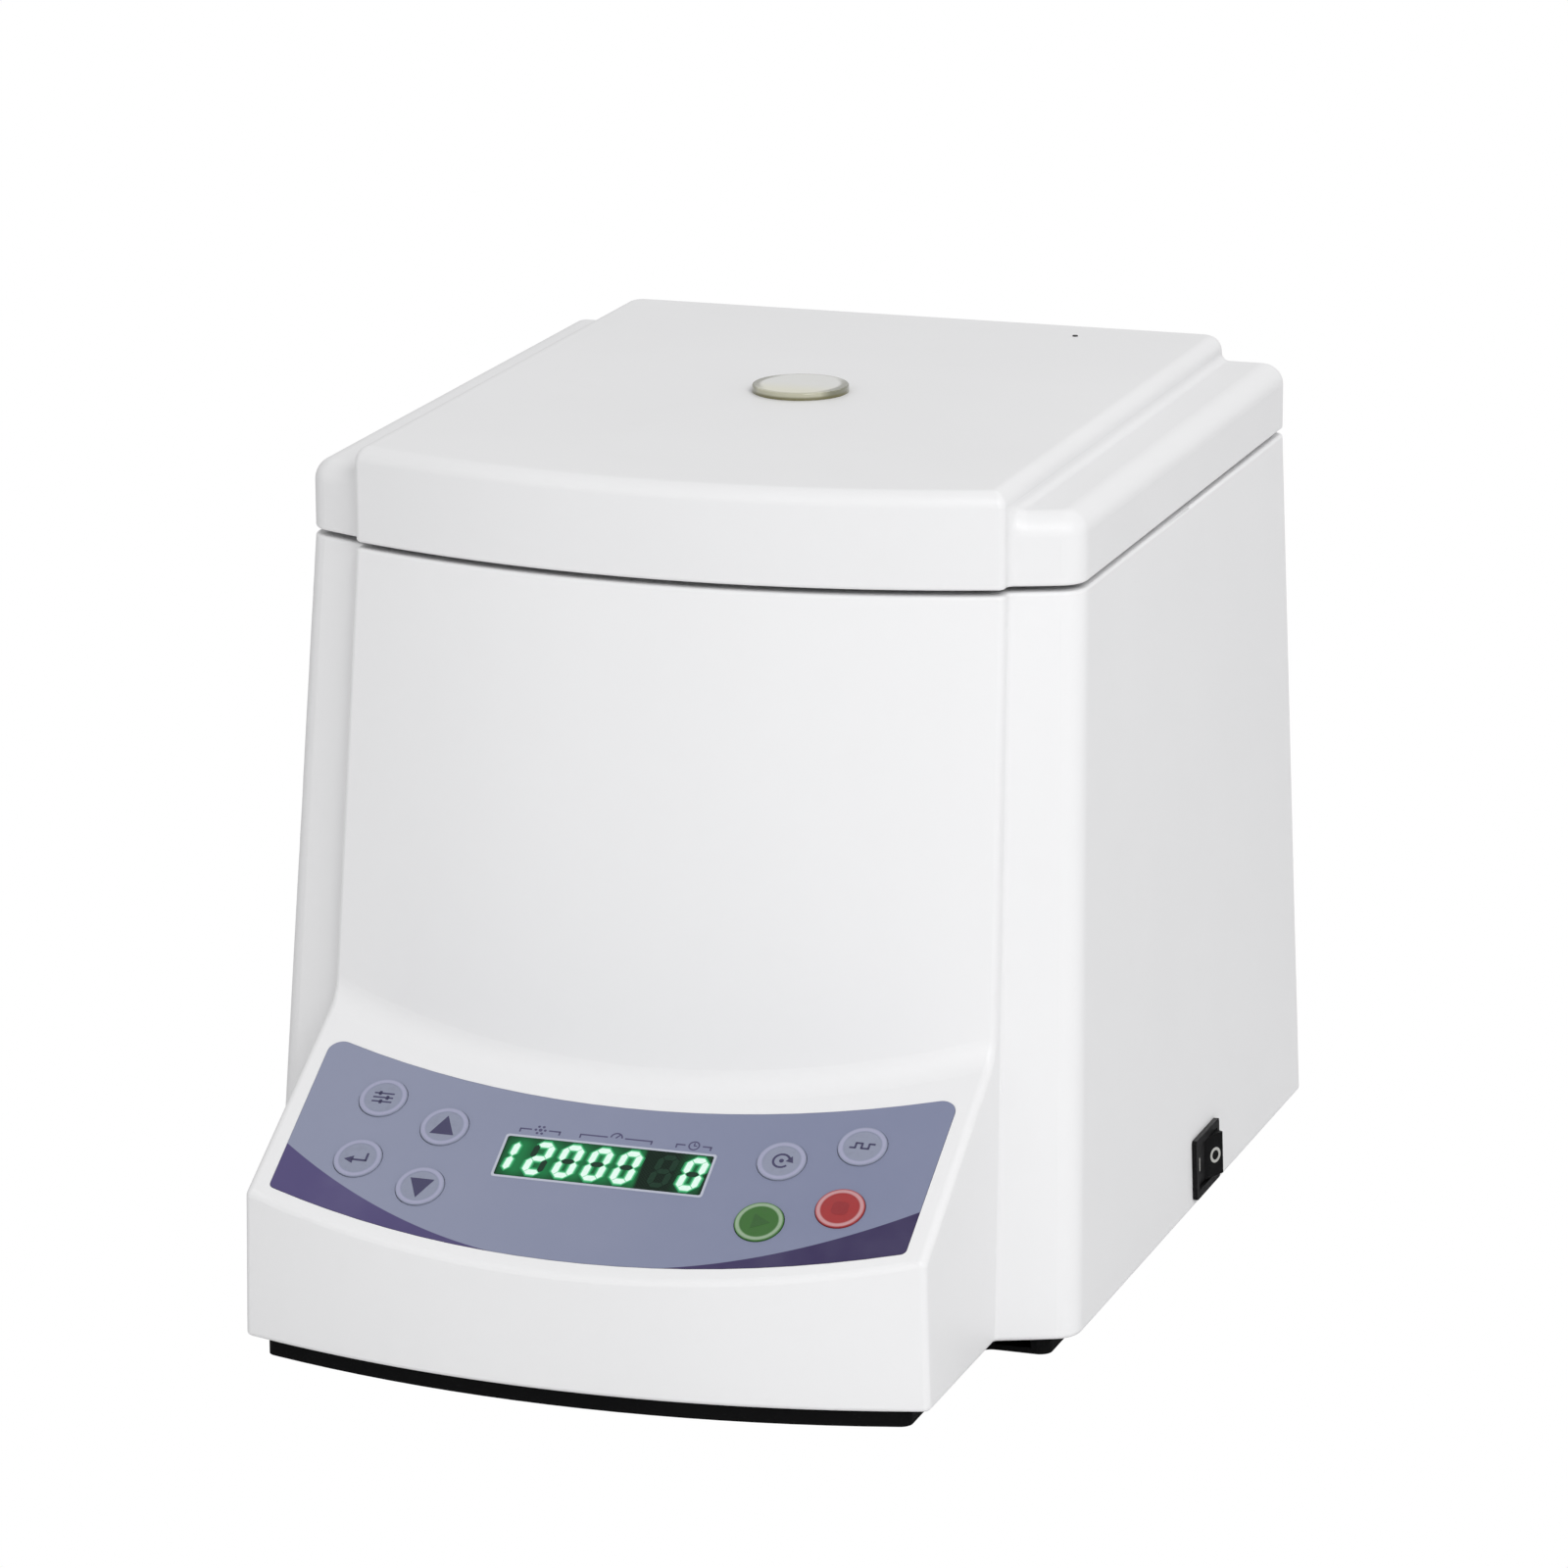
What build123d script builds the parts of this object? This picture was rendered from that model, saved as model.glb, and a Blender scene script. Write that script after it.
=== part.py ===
from build123d import *
import math
import os

# Bench centrifuge for capillary tubes. Front faces -Y, the bench is z = 0, the rotor axis is vertical.
# Sizes in millimetres.

# Overall shell
foot_height = 8.0
pan_rise = 6.3
housing_height = 258.0
half_width_top = 141.6
half_width_bottom = 150.0
back_top = 199.1
back_bottom = 206.5
nose_top = 104.1
nose_lean = 33.7
front_radius = 342.0
side_recess = 5.5
band_half_top = 118.5
band_half_bottom = 124.2
wall = 3.0
side_corner_radius = 11.0
back_corner_radius = 5.0
band_root_radius = 2.0
seam_edge_radius = 1.2
hem_edge_radius = 1.5
rounding_steps = (1.0, 0.85, 0.75, 0.65, 0.5, 0.35, 0.2)

# Sloped console in front of the body
console_nose = 202.5
console_radius = 400.0
slope_angle = 30.745
slope_y = -180.6
slope_z = 69.0
console_edge_radius = 3.0
pan_corner_radius = 4.5
console_blend_radius = 12.0

# Lid
seam_gap = 2.0
shelf_height = 25.2
band_step = 9.0
lid_wall = 3.0
lid_edge_radius = 5.5
lid_step_radius = 3.0
lid_nose_radius = 3.0
lid_back_radius = 8.0
liner_rise = 3.0
liner_thickness = 2.0
liner_gap = 0.4
lid_boss_radius = 5.0
lid_boss_x = 127.0
lid_boss_rear_y = 172.0
lid_boss_middle_y = 62.0
lid_boss_front_y = -46.0

# Window in the lid, over the rotor
window_cap_radius = 17.5
window_cap_height = 2.7
window_neck_radius = 15.0
window_fit = 0.2
window_nut_radius = 19.5
window_nut_height = 4.0
plug_x = 66.2
plug_y = 176.3
plug_radius = 1.0
plug_height = 0.3

# Hinges
hinge_x = 88.0
hinge_width = 46.0
hinge_barrel_radius = 3.5
hinge_stand_off = 3.7
hinge_pin_radius = 1.5
hinge_pin_fit = 0.05
hinge_pin_head = 1.2
hinge_leaf_thickness = 2.0
hinge_leaf_height = 22.0
hinge_knuckle_gap = 0.3
hinge_middle_share = 0.4
hinge_screw_spread = 14.5
hinge_screw_rise = 13.0
hinge_screw_head = 2.9
hinge_screw_head_height = 1.5
hinge_screw_length = 6.0
hinge_seat_gap = 0.3

# Bowl, guard and chassis
rotor_y = 52.5
bowl_radius = 104.0
bowl_depth = 50.0
bowl_sheet = 1.0
bowl_flange = 8.0
bowl_corner = 14.0
bowl_shaft_hole = 10.0
deck_hole_gap = 0.4
seal_width = 6.0
seal_inset = 1.0
guard_gap = 2.5
guard_wall = 3.0
guard_height = 61.0
chamber_plate_half = 114.0
chamber_plate_thickness = 3.0
chamber_plate_drop = 21.0
chamber_plate_hole = 24.0
post_spread = 100.0
post_radius = 6.0
post_bore = 18.0
post_screw_reach = 12.0

# Drive
damper_circle = 60.0
damper_radius = 9.0
damper_waist = 7.0
damper_height = 16.0
motor_plate_radius = 74.0
motor_plate_thickness = 4.0
motor_radius = 45.0
motor_height = 72.0
motor_wall = 4.0
motor_end = 9.0
stator_inner = 25.0
stator_height = 40.0
stator_slots = 12
stator_slot_width = 5.0
stator_slot_depth = 9.6
air_gap = 1.0
shaft_radius = 6.0
shaft_fit = 0.02
bearing_outer = 15.0
bearing_width = 7.0
shaft_tail = 6.0
boot_outer = 14.0
boot_height = 3.0
boot_gap = 1.0
collar_radius = 8.5
collar_thickness = 1.4
collar_gap = 0.6

# Rotor
rotor_radius = 95.0
rotor_floor = 5.0
rotor_rim = 2.0
rotor_rim_height = 6.0
gasket_width = 2.0
tube_slots = 24
tube_slot_width = 2.2
tube_slot_depth = 2.4
tube_length = 75.0
tube_bed_height = 3.0
hub_radius = 16.0
hub_flange = 5.0
hub_spigot_radius = 10.0
hub_fit = 0.02
cover_thickness = 1.5
cover_boss_radius = 17.0
cover_boss_height = 2.5
stud_radius = 3.0
stud_fit = 0.05
stud_reach = 11.0
knob_radius = 15.0
knob_height = 13.0
knob_flutes = 16
knob_flute_radius = 1.6

# Lock
lock_y = -82.0
lock_half_width = 30.0
lock_half_depth = 12.0
lock_drop = 33.0
striker_thickness = 4.0
striker_width = 16.0
striker_reach = 27.0
striker_side_gap = 2.0
bolt_radius = 3.0
bolt_fit = 0.05
bolt_below_deck = 12.0
bolt_travel = 12.0
armature_radius = 5.0
armature_length = 22.0
armature_play = 2.0
solenoid_length = 42.0
solenoid_half = 9.0
solenoid_wall = 2.0
striker_eye = 8.0
striker_foot = 2.0

# Front panel
overlay_half = 115.0
overlay_bottom_sag = 19.2
overlay_top_corner = 70.5
overlay_top_sag = 19.5
overlay_corner_radius = 5.0
overlay_thickness = 0.7
overlay_sunk = 0.6
overlay_gap = 0.15
key_radius = 8.6
key_gap = 0.2
key_wall_gap = 0.35
key_proud = 0.45
key_flange = 1.3
key_flange_thickness = 1.0
key_travel = 0.4
key_play = 0.3
key_stem_radius = 2.0
key_stem_length = 3.0
key_outer_x = 87.5
key_inner_x = 61.4
key_rows = (44.4, 34.3, 16.2, 6.7)
display_width = 75.7
display_height = 18.5
display_t = 24.55
display_gap = 0.15
display_thickness = 1.5
display_ledge = 1.6
board_depth = 11.5
board_thickness = 1.6
board_half_width = 104.0
board_low = -6.0
board_high = 56.0
tact_size = 6.0
tact_height = 2.7
tact_button = 1.7
tact_gap = 0.1
panel_post_x = 74.0
panel_post_low = -2.0
panel_post_high = 50.0
panel_post_radius = 3.0
module_gap = 0.5
module_drop = 0.3

# Rocker switch in the right wall
switch_y = 67.5
switch_z = 28.55
switch_bezel_length = 31.0
switch_bezel_width = 22.5
switch_bezel_height = 1.8
switch_body_length = 28.0
switch_body_width = 19.4
switch_body_depth = 20.0
switch_well_length = 25.0
switch_well_width = 16.4
switch_well_depth = 9.5
switch_hole_gap = 0.3
rocker_half = 12.2
rocker_side_gap = 0.3
rocker_end = 3.0
rocker_dip = 0.5
rocker_pivot_depth = 3.0
rocker_tilt = 11.0
rocker_pin_radius = 1.5
rocker_pin_fit = 0.05

# Rear wall fittings
service_x = 76.0
service_z = 46.0
service_width = 82.0
service_height = 40.0
service_depth = 6.0
service_corner = 4.0
inlet_offset = 16.0
inlet_flange_width = 42.0
inlet_flange_height = 28.0
inlet_flange_thickness = 2.0
inlet_body_width = 28.0
inlet_body_height = 20.6
inlet_body_depth = 20.0
inlet_gap = 0.3
inlet_socket_width = 24.5
inlet_socket_height = 16.6
inlet_socket_depth = 17.0
inlet_pin_reach = 11.0
inlet_pin_spacing = 7.0
inlet_pin_width = 4.0
inlet_pin_thickness = 2.0
inlet_pin_drop = 3.0
fuse_offset = -16.0
fuse_radius = 6.0
fuse_bezel_radius = 8.0
fuse_bezel_height = 1.6
fuse_depth = 26.0
fuse_cap_radius = 5.0
fuse_cap_fit = 0.06
fuse_cap_height = 5.4
fuse_cap_plug = 8.0
fuse_slot = 1.2
fan_x = -70.0
fan_z = 82.0
fan_size = 60.0
fan_depth = 20.0
fan_bore = 28.0
fan_hub = 12.0
fan_blades = 7
fan_blade_gap = 1.0
fan_blade_thickness = 1.4
fan_blade_pitch = 38.0
fan_wall = 2.0
fan_play = 0.5
fan_pin = 1.5
fan_pin_fit = 0.05
fan_screw_spread = 25.0
grille_size = 68.0
grille_thickness = 1.4
grille_gap = 0.3
grille_slots = 8
grille_slot_width = 3.4
grille_slot_pitch = 6.2
grille_slot_length = 44.0

# Base and its fasteners
pan_sheet = 2.0
pan_side_inset = 9.3
pan_back_inset = 8.0
pan_console_side_inset = 7.3
pan_front_inset = 3.4
pan_body_front = 99.0
pan_lip = 2.0
pan_lip_gap = 0.4
foot_radius = 14.0
foot_draft = 1.5
foot_front_x = 92.0
foot_front_y = -150.0
foot_rear_x = 112.0
foot_rear_y = 166.0
foot_well_radius = 5.0
foot_well_depth = 4.0
screw_radius = 2.0
screw_gap = 0.1
screw_head_radius = 3.8
screw_head_height = 2.2
screw_slot = 1.0
screw_recess_radius = 2.7
boss_radius = 5.5
boss_rib = 3.0
boss_height = 36.0
boss_side_x = 128.0
boss_rear_y = 120.0
boss_middle_y = -50.0
boss_console_x = 104.0
boss_console_y = -168.0

# Boards inside
drive_board_width = 130.0
drive_board_depth = 96.0
drive_board_y = 40.0
drive_board_rise = 12.0
drive_board_thickness = 1.6
sink_width = 34.0
sink_length = 70.0
sink_height = 26.0
sink_fins = 6
sink_fin = 2.0
sink_base = 4.0
capacitor_radius = 11.0
capacitor_height = 34.0
capacitor_spread = 13.2
standoff_radius = 3.0
standoff_inset = 7.0
ribbon_width = 28.0
ribbon_thickness = 1.0
ribbon_bend = 7.0
ribbon_sag_height = 34.0

shell_bottom = foot_height + pan_rise
housing_top = shell_bottom + housing_height
lid_bottom = housing_top + seam_gap
shelf_top = lid_bottom + shelf_height
lid_top = shelf_top + band_step
liner_bottom = lid_bottom + liner_rise
pan_floor_top = foot_height + pan_sheet
deck_bottom = housing_top - wall
low = (Align.CENTER, Align.CENTER, Align.MIN)
slope = math.radians(slope_angle)
side_slope = (half_width_bottom - half_width_top) / housing_height
back_slope = (back_bottom - back_top) / housing_height


# Small helpers
def block(x_low, x_high, y_low, y_high, z_low, z_high):
    size = Box(x_high - x_low, y_high - y_low, z_high - z_low, align=low)
    return Pos((x_low + x_high) / 2, (y_low + y_high) / 2, z_low) * size


def disc(radius, z_low, z_high, x=0.0, y=0.0):
    return Pos(x, y, z_low) * Cylinder(radius, z_high - z_low, align=low)


def ring(outer, inner, z_low, z_high, x=0.0, y=0.0):
    return disc(outer, z_low, z_high, x, y) - disc(inner, z_low, z_high, x, y)


def at_level(top_value, bottom_value, level):
    return top_value + (bottom_value - top_value) * (housing_top - level) / housing_height


# Local frames on the walls
panel = Plane(origin=(0, slope_y, slope_z), x_dir=(1, 0, 0), z_dir=(0, -math.sin(slope), math.cos(slope)))


def side_plane(y, z):
    x = at_level(half_width_top, half_width_bottom, z)
    return Plane(origin=(x, y, z), x_dir=(0, 1, 0), z_dir=(1, 0, side_slope))


def rear_plane(x, z):
    y = at_level(back_top, back_bottom, z)
    return Plane(origin=(x, y, z), x_dir=(-1, 0, 0), z_dir=(0, 1, back_slope))


# Outer envelope, also used inset for the hollow
def arc_y(centre_y, radius, x):
    return centre_y - math.sqrt(radius ** 2 - x ** 2)


def body_face(level, inset):
    half = at_level(half_width_top, half_width_bottom, level) - inset
    back = at_level(back_top, back_bottom, level) - inset
    band = at_level(band_half_top, band_half_bottom, level) - inset
    centre_y = front_radius - at_level(nose_top, nose_top + nose_lean, level)
    outer = front_radius - inset
    recessed = outer - side_recess
    middle = (band + half) / 2
    edges = [ThreePointArc((-band, arc_y(centre_y, outer, band)), (0, centre_y - outer),
                           (band, arc_y(centre_y, outer, band)))]
    for side in (1, -1):
        root = (side * band, arc_y(centre_y, recessed, band))
        corner = (side * half, arc_y(centre_y, recessed, half))
        edges.append(Line((side * band, arc_y(centre_y, outer, band)), root))
        edges.append(ThreePointArc(root, (side * middle, arc_y(centre_y, recessed, middle)), corner))
        edges.append(Line(corner, (side * half, back)))
    edges.append(Line((half, back), (-half, back)))
    return Pos(0, 0, level) * make_face(Curve() + edges)


def body_solid(inset):
    return loft([body_face(shell_bottom, inset), body_face(housing_top, inset)], ruled=True)


def console_face(level, inset):
    band = at_level(band_half_top, band_half_bottom, level) - inset
    radius = console_radius - inset
    centre_y = console_radius - console_nose
    front = arc_y(centre_y, radius, band)
    edges = [ThreePointArc((-band, front), (0, centre_y - radius), (band, front)),
             Line((band, front), (band, 0)),
             Line((band, 0), (-band, 0)), Line((-band, 0), (-band, front))]
    return Pos(0, 0, level) * make_face(Curve() + edges)


def console_solid(inset):
    top = slope_z - slope_y * math.tan(slope)
    solid = loft([console_face(shell_bottom, inset), console_face(top, inset)], ruled=True)
    reach = 4 * console_nose
    return solid - panel.offset(-inset).location * Box(reach, reach, reach, align=low)


def upright_edges(solid, x, y, level=None, reach=2.0):
    # Edges that run up the wall and pass near a plan position at one level, on both sides.
    level = shell_bottom if level is None else level
    found = []
    for edge in solid.edges():
        middle = edge.position_at(0.5)
        tangent = edge.tangent_at(0.5)
        if abs(tangent.Z) < 0.9:
            continue
        place = middle - tangent * ((middle.Z - level) / tangent.Z)
        if math.hypot(abs(place.X) - x, place.Y - y) < reach:
            found.append(edge)
    return found


def on_band_side(edge):
    for share in (0.0, 0.5, 1.0):
        place = edge.position_at(share)
        if abs(abs(place.X) - at_level(band_half_top, band_half_bottom, place.Z)) > 0.02:
            return False
    return True


def corner_places(inset):
    # Plan positions of the body's upright corners at the shell's bottom.
    half = half_width_bottom - inset
    band = band_half_bottom - inset
    centre_y = front_radius - nose_top - nose_lean
    outer = front_radius - inset
    return {
        "side": (half, arc_y(centre_y, outer - side_recess, half)),
        "back": (half, back_bottom - inset),
        "root": (band, arc_y(centre_y, outer - side_recess, band)),
    }


def on_slope(edge):
    places = [panel.to_local_coords(edge.position_at(share)) for share in (0.0, 0.25, 0.5, 0.75, 1.0)]
    return max(abs(place.Z) for place in places) < 0.01


def edges_at_level(solid, level):
    found = []
    for edge in solid.edges():
        heights = [edge.position_at(share).Z for share in (0.0, 0.5, 1.0)]
        if max(abs(height - level) for height in heights) < 0.01:
            found.append(edge)
    return found


def rounded(edges, radius):
    # Where other sizes leave too little room at a corner, the next smaller radius is taken.
    for share in rounding_steps[:-1]:
        try:
            return fillet(edges, share * radius)
        except ValueError:
            print(f"no room for a radius of {share * radius:.2f} mm")
    return fillet(edges, rounding_steps[-1] * radius)


def outer_envelope():
    places = corner_places(0.0)
    solid = body_solid(0.0) + console_solid(0.0)
    blend_y = overlay_top_corner - overlay_top_sag
    blend = [edge for edge in solid.edges() if on_slope(edge) and edge.length > band_half_top
             and panel.to_local_coords(edge.position_at(0.5)).Y > blend_y]
    solid = rounded(blend, console_blend_radius)
    brow = [edge for edge in solid.edges() if on_slope(edge) and edge.length > band_half_top
            and panel.to_local_coords(edge.position_at(0.5)).Y < 0]
    flank = [edge for edge in solid.edges() if on_band_side(edge) and edge.geom_type != GeomType.LINE]
    solid = rounded(brow + flank, console_edge_radius)
    solid = rounded(upright_edges(solid, *places["root"]), band_root_radius)
    solid = rounded(upright_edges(solid, *places["side"]), side_corner_radius)
    solid = rounded(upright_edges(solid, *places["back"]), back_corner_radius)
    solid = rounded(edges_at_level(solid, housing_top), seam_edge_radius)
    return rounded(edges_at_level(solid, shell_bottom), hem_edge_radius)


def inner_envelope(inset):
    places = corner_places(inset)
    solid = body_solid(inset) + console_solid(inset)
    solid = rounded(upright_edges(solid, *places["side"]), side_corner_radius - inset)
    return rounded(upright_edges(solid, *places["back"]), back_corner_radius - inset)


# Base pan, feet and the fasteners that hold the housing on
def foot_places():
    places = ((foot_front_x, foot_front_y), (foot_rear_x, foot_rear_y))
    return [(side * x, y) for x, y in places for side in (1, -1)]


def boss_places():
    places = ((boss_side_x, boss_rear_y), (boss_side_x, boss_middle_y), (boss_console_x, boss_console_y))
    return [(side * x, y) for x, y in places for side in (1, -1)]


def post_places():
    return [(x, rotor_y + y) for x in (post_spread, -post_spread) for y in (post_spread, -post_spread)]


def drive_board_places():
    x = drive_board_width / 2 - standoff_inset
    y = drive_board_depth / 2 - standoff_inset
    return [(side * x, drive_board_y + end * y) for side in (1, -1) for end in (1, -1)]


def pan_outline(inset):
    half = half_width_bottom - pan_side_inset - inset
    band = band_half_bottom - pan_console_side_inset - inset
    radius = console_radius - pan_front_inset - inset
    front = arc_y(console_radius - console_nose, radius, band)
    back = back_bottom - pan_back_inset - inset
    rear = Pos(0, (back - pan_body_front) / 2) * Rectangle(2 * half, back + pan_body_front)
    edges = [ThreePointArc((-band, front), (0, console_radius - console_nose - radius), (band, front)),
             Line((band, front), (band, 0)), Line((band, 0), (-band, 0)), Line((-band, 0), (-band, front))]
    return rounded((rear + make_face(Curve() + edges)).vertices(), pan_corner_radius)


def base_pan():
    rim_top = shell_bottom + pan_lip
    shell = Pos(0, 0, foot_height) * extrude(pan_outline(0.0), rim_top - foot_height)
    lip = inner_envelope(wall + pan_lip_gap)
    lip &= block(-console_nose, console_nose, -console_nose, console_nose, shell_bottom, rim_top)
    hollow = Pos(0, 0, pan_floor_top) * extrude(pan_outline(pan_sheet), rim_top)
    pan = shell + lip - hollow
    for x, y in foot_places() + boss_places() + post_places() + drive_board_places():
        pan -= disc(screw_radius + screw_gap, foot_height, pan_floor_top, x, y)
    return pan


def rubber_foot(x, y):
    foot = Pos(x, y, foot_height / 2) * Cone(foot_radius - foot_draft, foot_radius, foot_height)
    foot -= disc(foot_well_radius, 0, foot_well_depth, x, y)
    return foot - disc(screw_radius + screw_gap, 0, foot_height, x, y)


def pan_screw(x, y, head_bottom, tip):
    screw = disc(screw_head_radius, head_bottom, head_bottom + screw_head_height, x, y)
    screw += disc(screw_radius, head_bottom, tip, x, y)
    for turn in (0, 90):
        slot = Box(2 * screw_recess_radius, screw_slot, screw_slot, align=low)
        screw -= Pos(x, y, head_bottom) * Rot(0, 0, turn) * slot
    return screw


def foot_screws():
    return [pan_screw(x, y, foot_well_depth - screw_head_height, pan_floor_top + screw_radius)
            for x, y in foot_places()]


def housing_screws():
    return [pan_screw(x, y, foot_height - screw_head_height, pan_floor_top + boss_height / 2)
            for x, y in boss_places()]


# Main housing
def housing_bosses():
    bosses = None
    for x, y in boss_places():
        side = math.copysign(1, x)
        reach = half_width_bottom if y > -pan_body_front else band_half_bottom
        root = side * (reach - wall / 2)
        rib = block(min(x, root), max(x, root), y - boss_rib / 2, y + boss_rib / 2,
                    shell_bottom + pan_lip + pan_lip_gap, pan_floor_top + boss_height)
        post = disc(boss_radius, pan_floor_top, pan_floor_top + boss_height, x, y) + rib
        bosses = post if bosses is None else bosses + post
    return bosses


def boss_pilots():
    tip = pan_floor_top + boss_height / 2 + pan_sheet
    return [disc(screw_radius + screw_gap, pan_floor_top, tip, x, y) for x, y in boss_places()]


def service_box(extra, depth_low, depth_high):
    outline = Rectangle(service_width + 2 * extra, service_height + 2 * extra)
    outline = fillet(outline.vertices(), service_corner + extra)
    start = rear_plane(service_x, service_z).offset(depth_low)
    return start.location * extrude(outline, depth_high - depth_low)


def hinge_seat(x):
    half = hinge_width / 2 + hinge_seat_gap
    return block(x - half, x + half, back_top, back_bottom,
                 housing_top - hinge_leaf_height - hinge_seat_gap, housing_top + seam_gap)


def main_housing():
    housing = outer_envelope()
    hollow = inner_envelope(wall)
    above = block(-console_nose, console_nose, -console_nose, console_nose, deck_bottom, lid_top)
    housing -= hollow - above
    housing += housing_bosses()
    housing += service_box(wall, -service_depth - wall, -wall / 2)
    housing -= service_box(0.0, -service_depth, wall)
    housing -= disc(bowl_radius + bowl_sheet + deck_hole_gap, deck_bottom, housing_top, 0, rotor_y)
    housing -= striker_channel(deck_bottom, housing_top)
    for x in (hinge_x, -hinge_x):
        housing -= hinge_seat(x)
    for pilot in boss_pilots() + hinge_screw_holes(-1):
        housing -= pilot
    housing -= panel_cuts()
    housing -= switch_hole()
    housing -= inlet_hole()
    housing -= fuse_hole()
    return housing - grille_hole()


# Lid
def lid_band_face(inset):
    band = band_half_top - inset
    outer = front_radius - inset
    centre_y = front_radius - nose_top
    front = arc_y(centre_y, outer, band)
    back = back_top - inset
    edges = [ThreePointArc((-band, front), (0, centre_y - outer), (band, front)),
             Line((band, front), (band, back)),
             Line((band, back), (-band, back)), Line((-band, back), (-band, front))]
    return make_face(Curve() + edges)


nose_side_y = arc_y(front_radius - nose_top, front_radius, band_half_top)
side_root_y = arc_y(front_radius - nose_top, front_radius - side_recess, band_half_top)


def lid_outline(inset):
    face = body_face(housing_top, inset)
    half = half_width_top - inset
    outer = [vertex for vertex in face.vertices() if abs(vertex.X) > half - 0.01]
    face = fillet([vertex for vertex in outer if vertex.Y < 0], side_corner_radius - inset)
    outer = [vertex for vertex in face.vertices() if abs(vertex.X) > half - 0.01]
    outer = [vertex for vertex in outer if vertex.Y > back_top - inset - 0.01]
    return fillet(outer, back_corner_radius - inset)


def lid_solid(inset, top_drop):
    shelf = extrude(Pos(0, 0, seam_gap) * lid_outline(inset), shelf_height - top_drop)
    band = extrude(Pos(0, 0, lid_bottom) * lid_band_face(inset), shelf_height + band_step - top_drop)
    return shelf + band


def lid_boss_places():
    return [(side * lid_boss_x, y) for y in (lid_boss_rear_y, lid_boss_middle_y, lid_boss_front_y)
            for side in (1, -1)]


def band_edges(solid):
    # The inner corner along the band's foot and the one that runs down beside the nose.
    found = []
    for edge in solid.edges():
        middle = edge.position_at(0.5)
        if abs(abs(middle.X) - band_half_top) > 0.01 or middle.Y < side_root_y - 0.5:
            continue
        if abs(middle.Z - shelf_top) < 0.01 or (middle.Y < side_root_y + 0.5 and middle.Z < shelf_top):
            found.append(edge)
    return found


def lid_outer():
    solid = lid_solid(0.0, 0.0)
    solid = rounded(band_edges(solid), lid_step_radius)
    solid = rounded(upright_edges(solid, band_half_top, nose_side_y, lid_bottom), lid_nose_radius)
    solid = rounded(upright_edges(solid, band_half_top, back_top, lid_bottom), lid_back_radius)
    rims = edges_at_level(solid, lid_top)
    rims += [edge for edge in edges_at_level(solid, shelf_top)
             if abs(edge.position_at(0.5).X) > band_half_top + lid_step_radius + 0.5]
    solid = rounded(rims, lid_edge_radius)
    return rounded(edges_at_level(solid, lid_bottom), seam_edge_radius)


def lid_shell():
    shell = lid_outer() - lid_solid(lid_wall, lid_wall)
    for x, y in lid_boss_places():
        boss_bottom = liner_bottom + liner_thickness
        shell += disc(lid_boss_radius, boss_bottom, shelf_top - lid_wall / 2, x, y)
        shell -= disc(screw_radius + screw_gap, liner_bottom, shelf_top - lid_wall - screw_radius, x, y)
    shell -= disc(window_neck_radius + window_fit, lid_bottom, lid_top, 0, rotor_y)
    shell -= disc(plug_radius + screw_gap, lid_top - lid_wall, lid_top, plug_x, plug_y)
    for hole in hinge_screw_holes(1):
        shell -= hole
    return shell


def lid_liner():
    face = lid_outline(lid_wall + liner_gap)
    liner = extrude(Pos(0, 0, liner_bottom - housing_top) * face, liner_thickness)
    liner -= disc(window_neck_radius + window_fit, liner_bottom, lid_top, 0, rotor_y)
    for x, y in lid_boss_places():
        liner -= disc(screw_radius + screw_gap, liner_bottom, lid_top, x, y)
    return liner


def lid_screws():
    return [pan_screw(x, y, liner_bottom - screw_head_height, shelf_top - 2 * lid_wall)
            for x, y in lid_boss_places()]


def window_lens():
    cap = disc(window_cap_radius, lid_top, lid_top + window_cap_height, 0, rotor_y)
    cap = fillet(edges_at_level(cap, lid_top + window_cap_height), seam_edge_radius / 2)
    return cap + disc(window_neck_radius, liner_bottom, lid_top, 0, rotor_y)


def window_nut():
    bottom = liner_bottom + liner_thickness
    top = bottom + window_nut_height
    return ring(window_nut_radius, window_neck_radius + window_fit, bottom, top, 0, rotor_y)


def lid_plug():
    bottom = lid_top - lid_wall - plug_radius
    plug = disc(plug_radius, bottom, lid_top + plug_height, plug_x, plug_y)
    return plug + disc(2 * plug_radius, bottom, lid_top - lid_wall, plug_x, plug_y)


# Hinges: two butt hinges on the rear faces, barrels behind the seam
hinge_axis_y = back_top + hinge_stand_off
hinge_axis_z = housing_top + seam_gap / 2


def x_cylinder(radius, x_low, x_high, y, z):
    return Pos(x_low, y, z) * Rot(0, 90, 0) * Cylinder(radius, x_high - x_low, align=low)


def y_cylinder(radius, y_low, y_high, x, z):
    return Pos(x, y_high, z) * Rot(90, 0, 0) * Cylinder(radius, y_high - y_low, align=low)


def hinge_screw_places(side):
    return [(hinge + end * hinge_screw_spread, hinge_axis_z + side * hinge_screw_rise)
            for hinge in (hinge_x, -hinge_x) for end in (1, -1)]


def hinge_screw_holes(side):
    return [y_cylinder(hinge_pin_radius + screw_gap, back_top - 2 * wall, back_bottom, x, z)
            for x, z in hinge_screw_places(side)]


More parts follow.
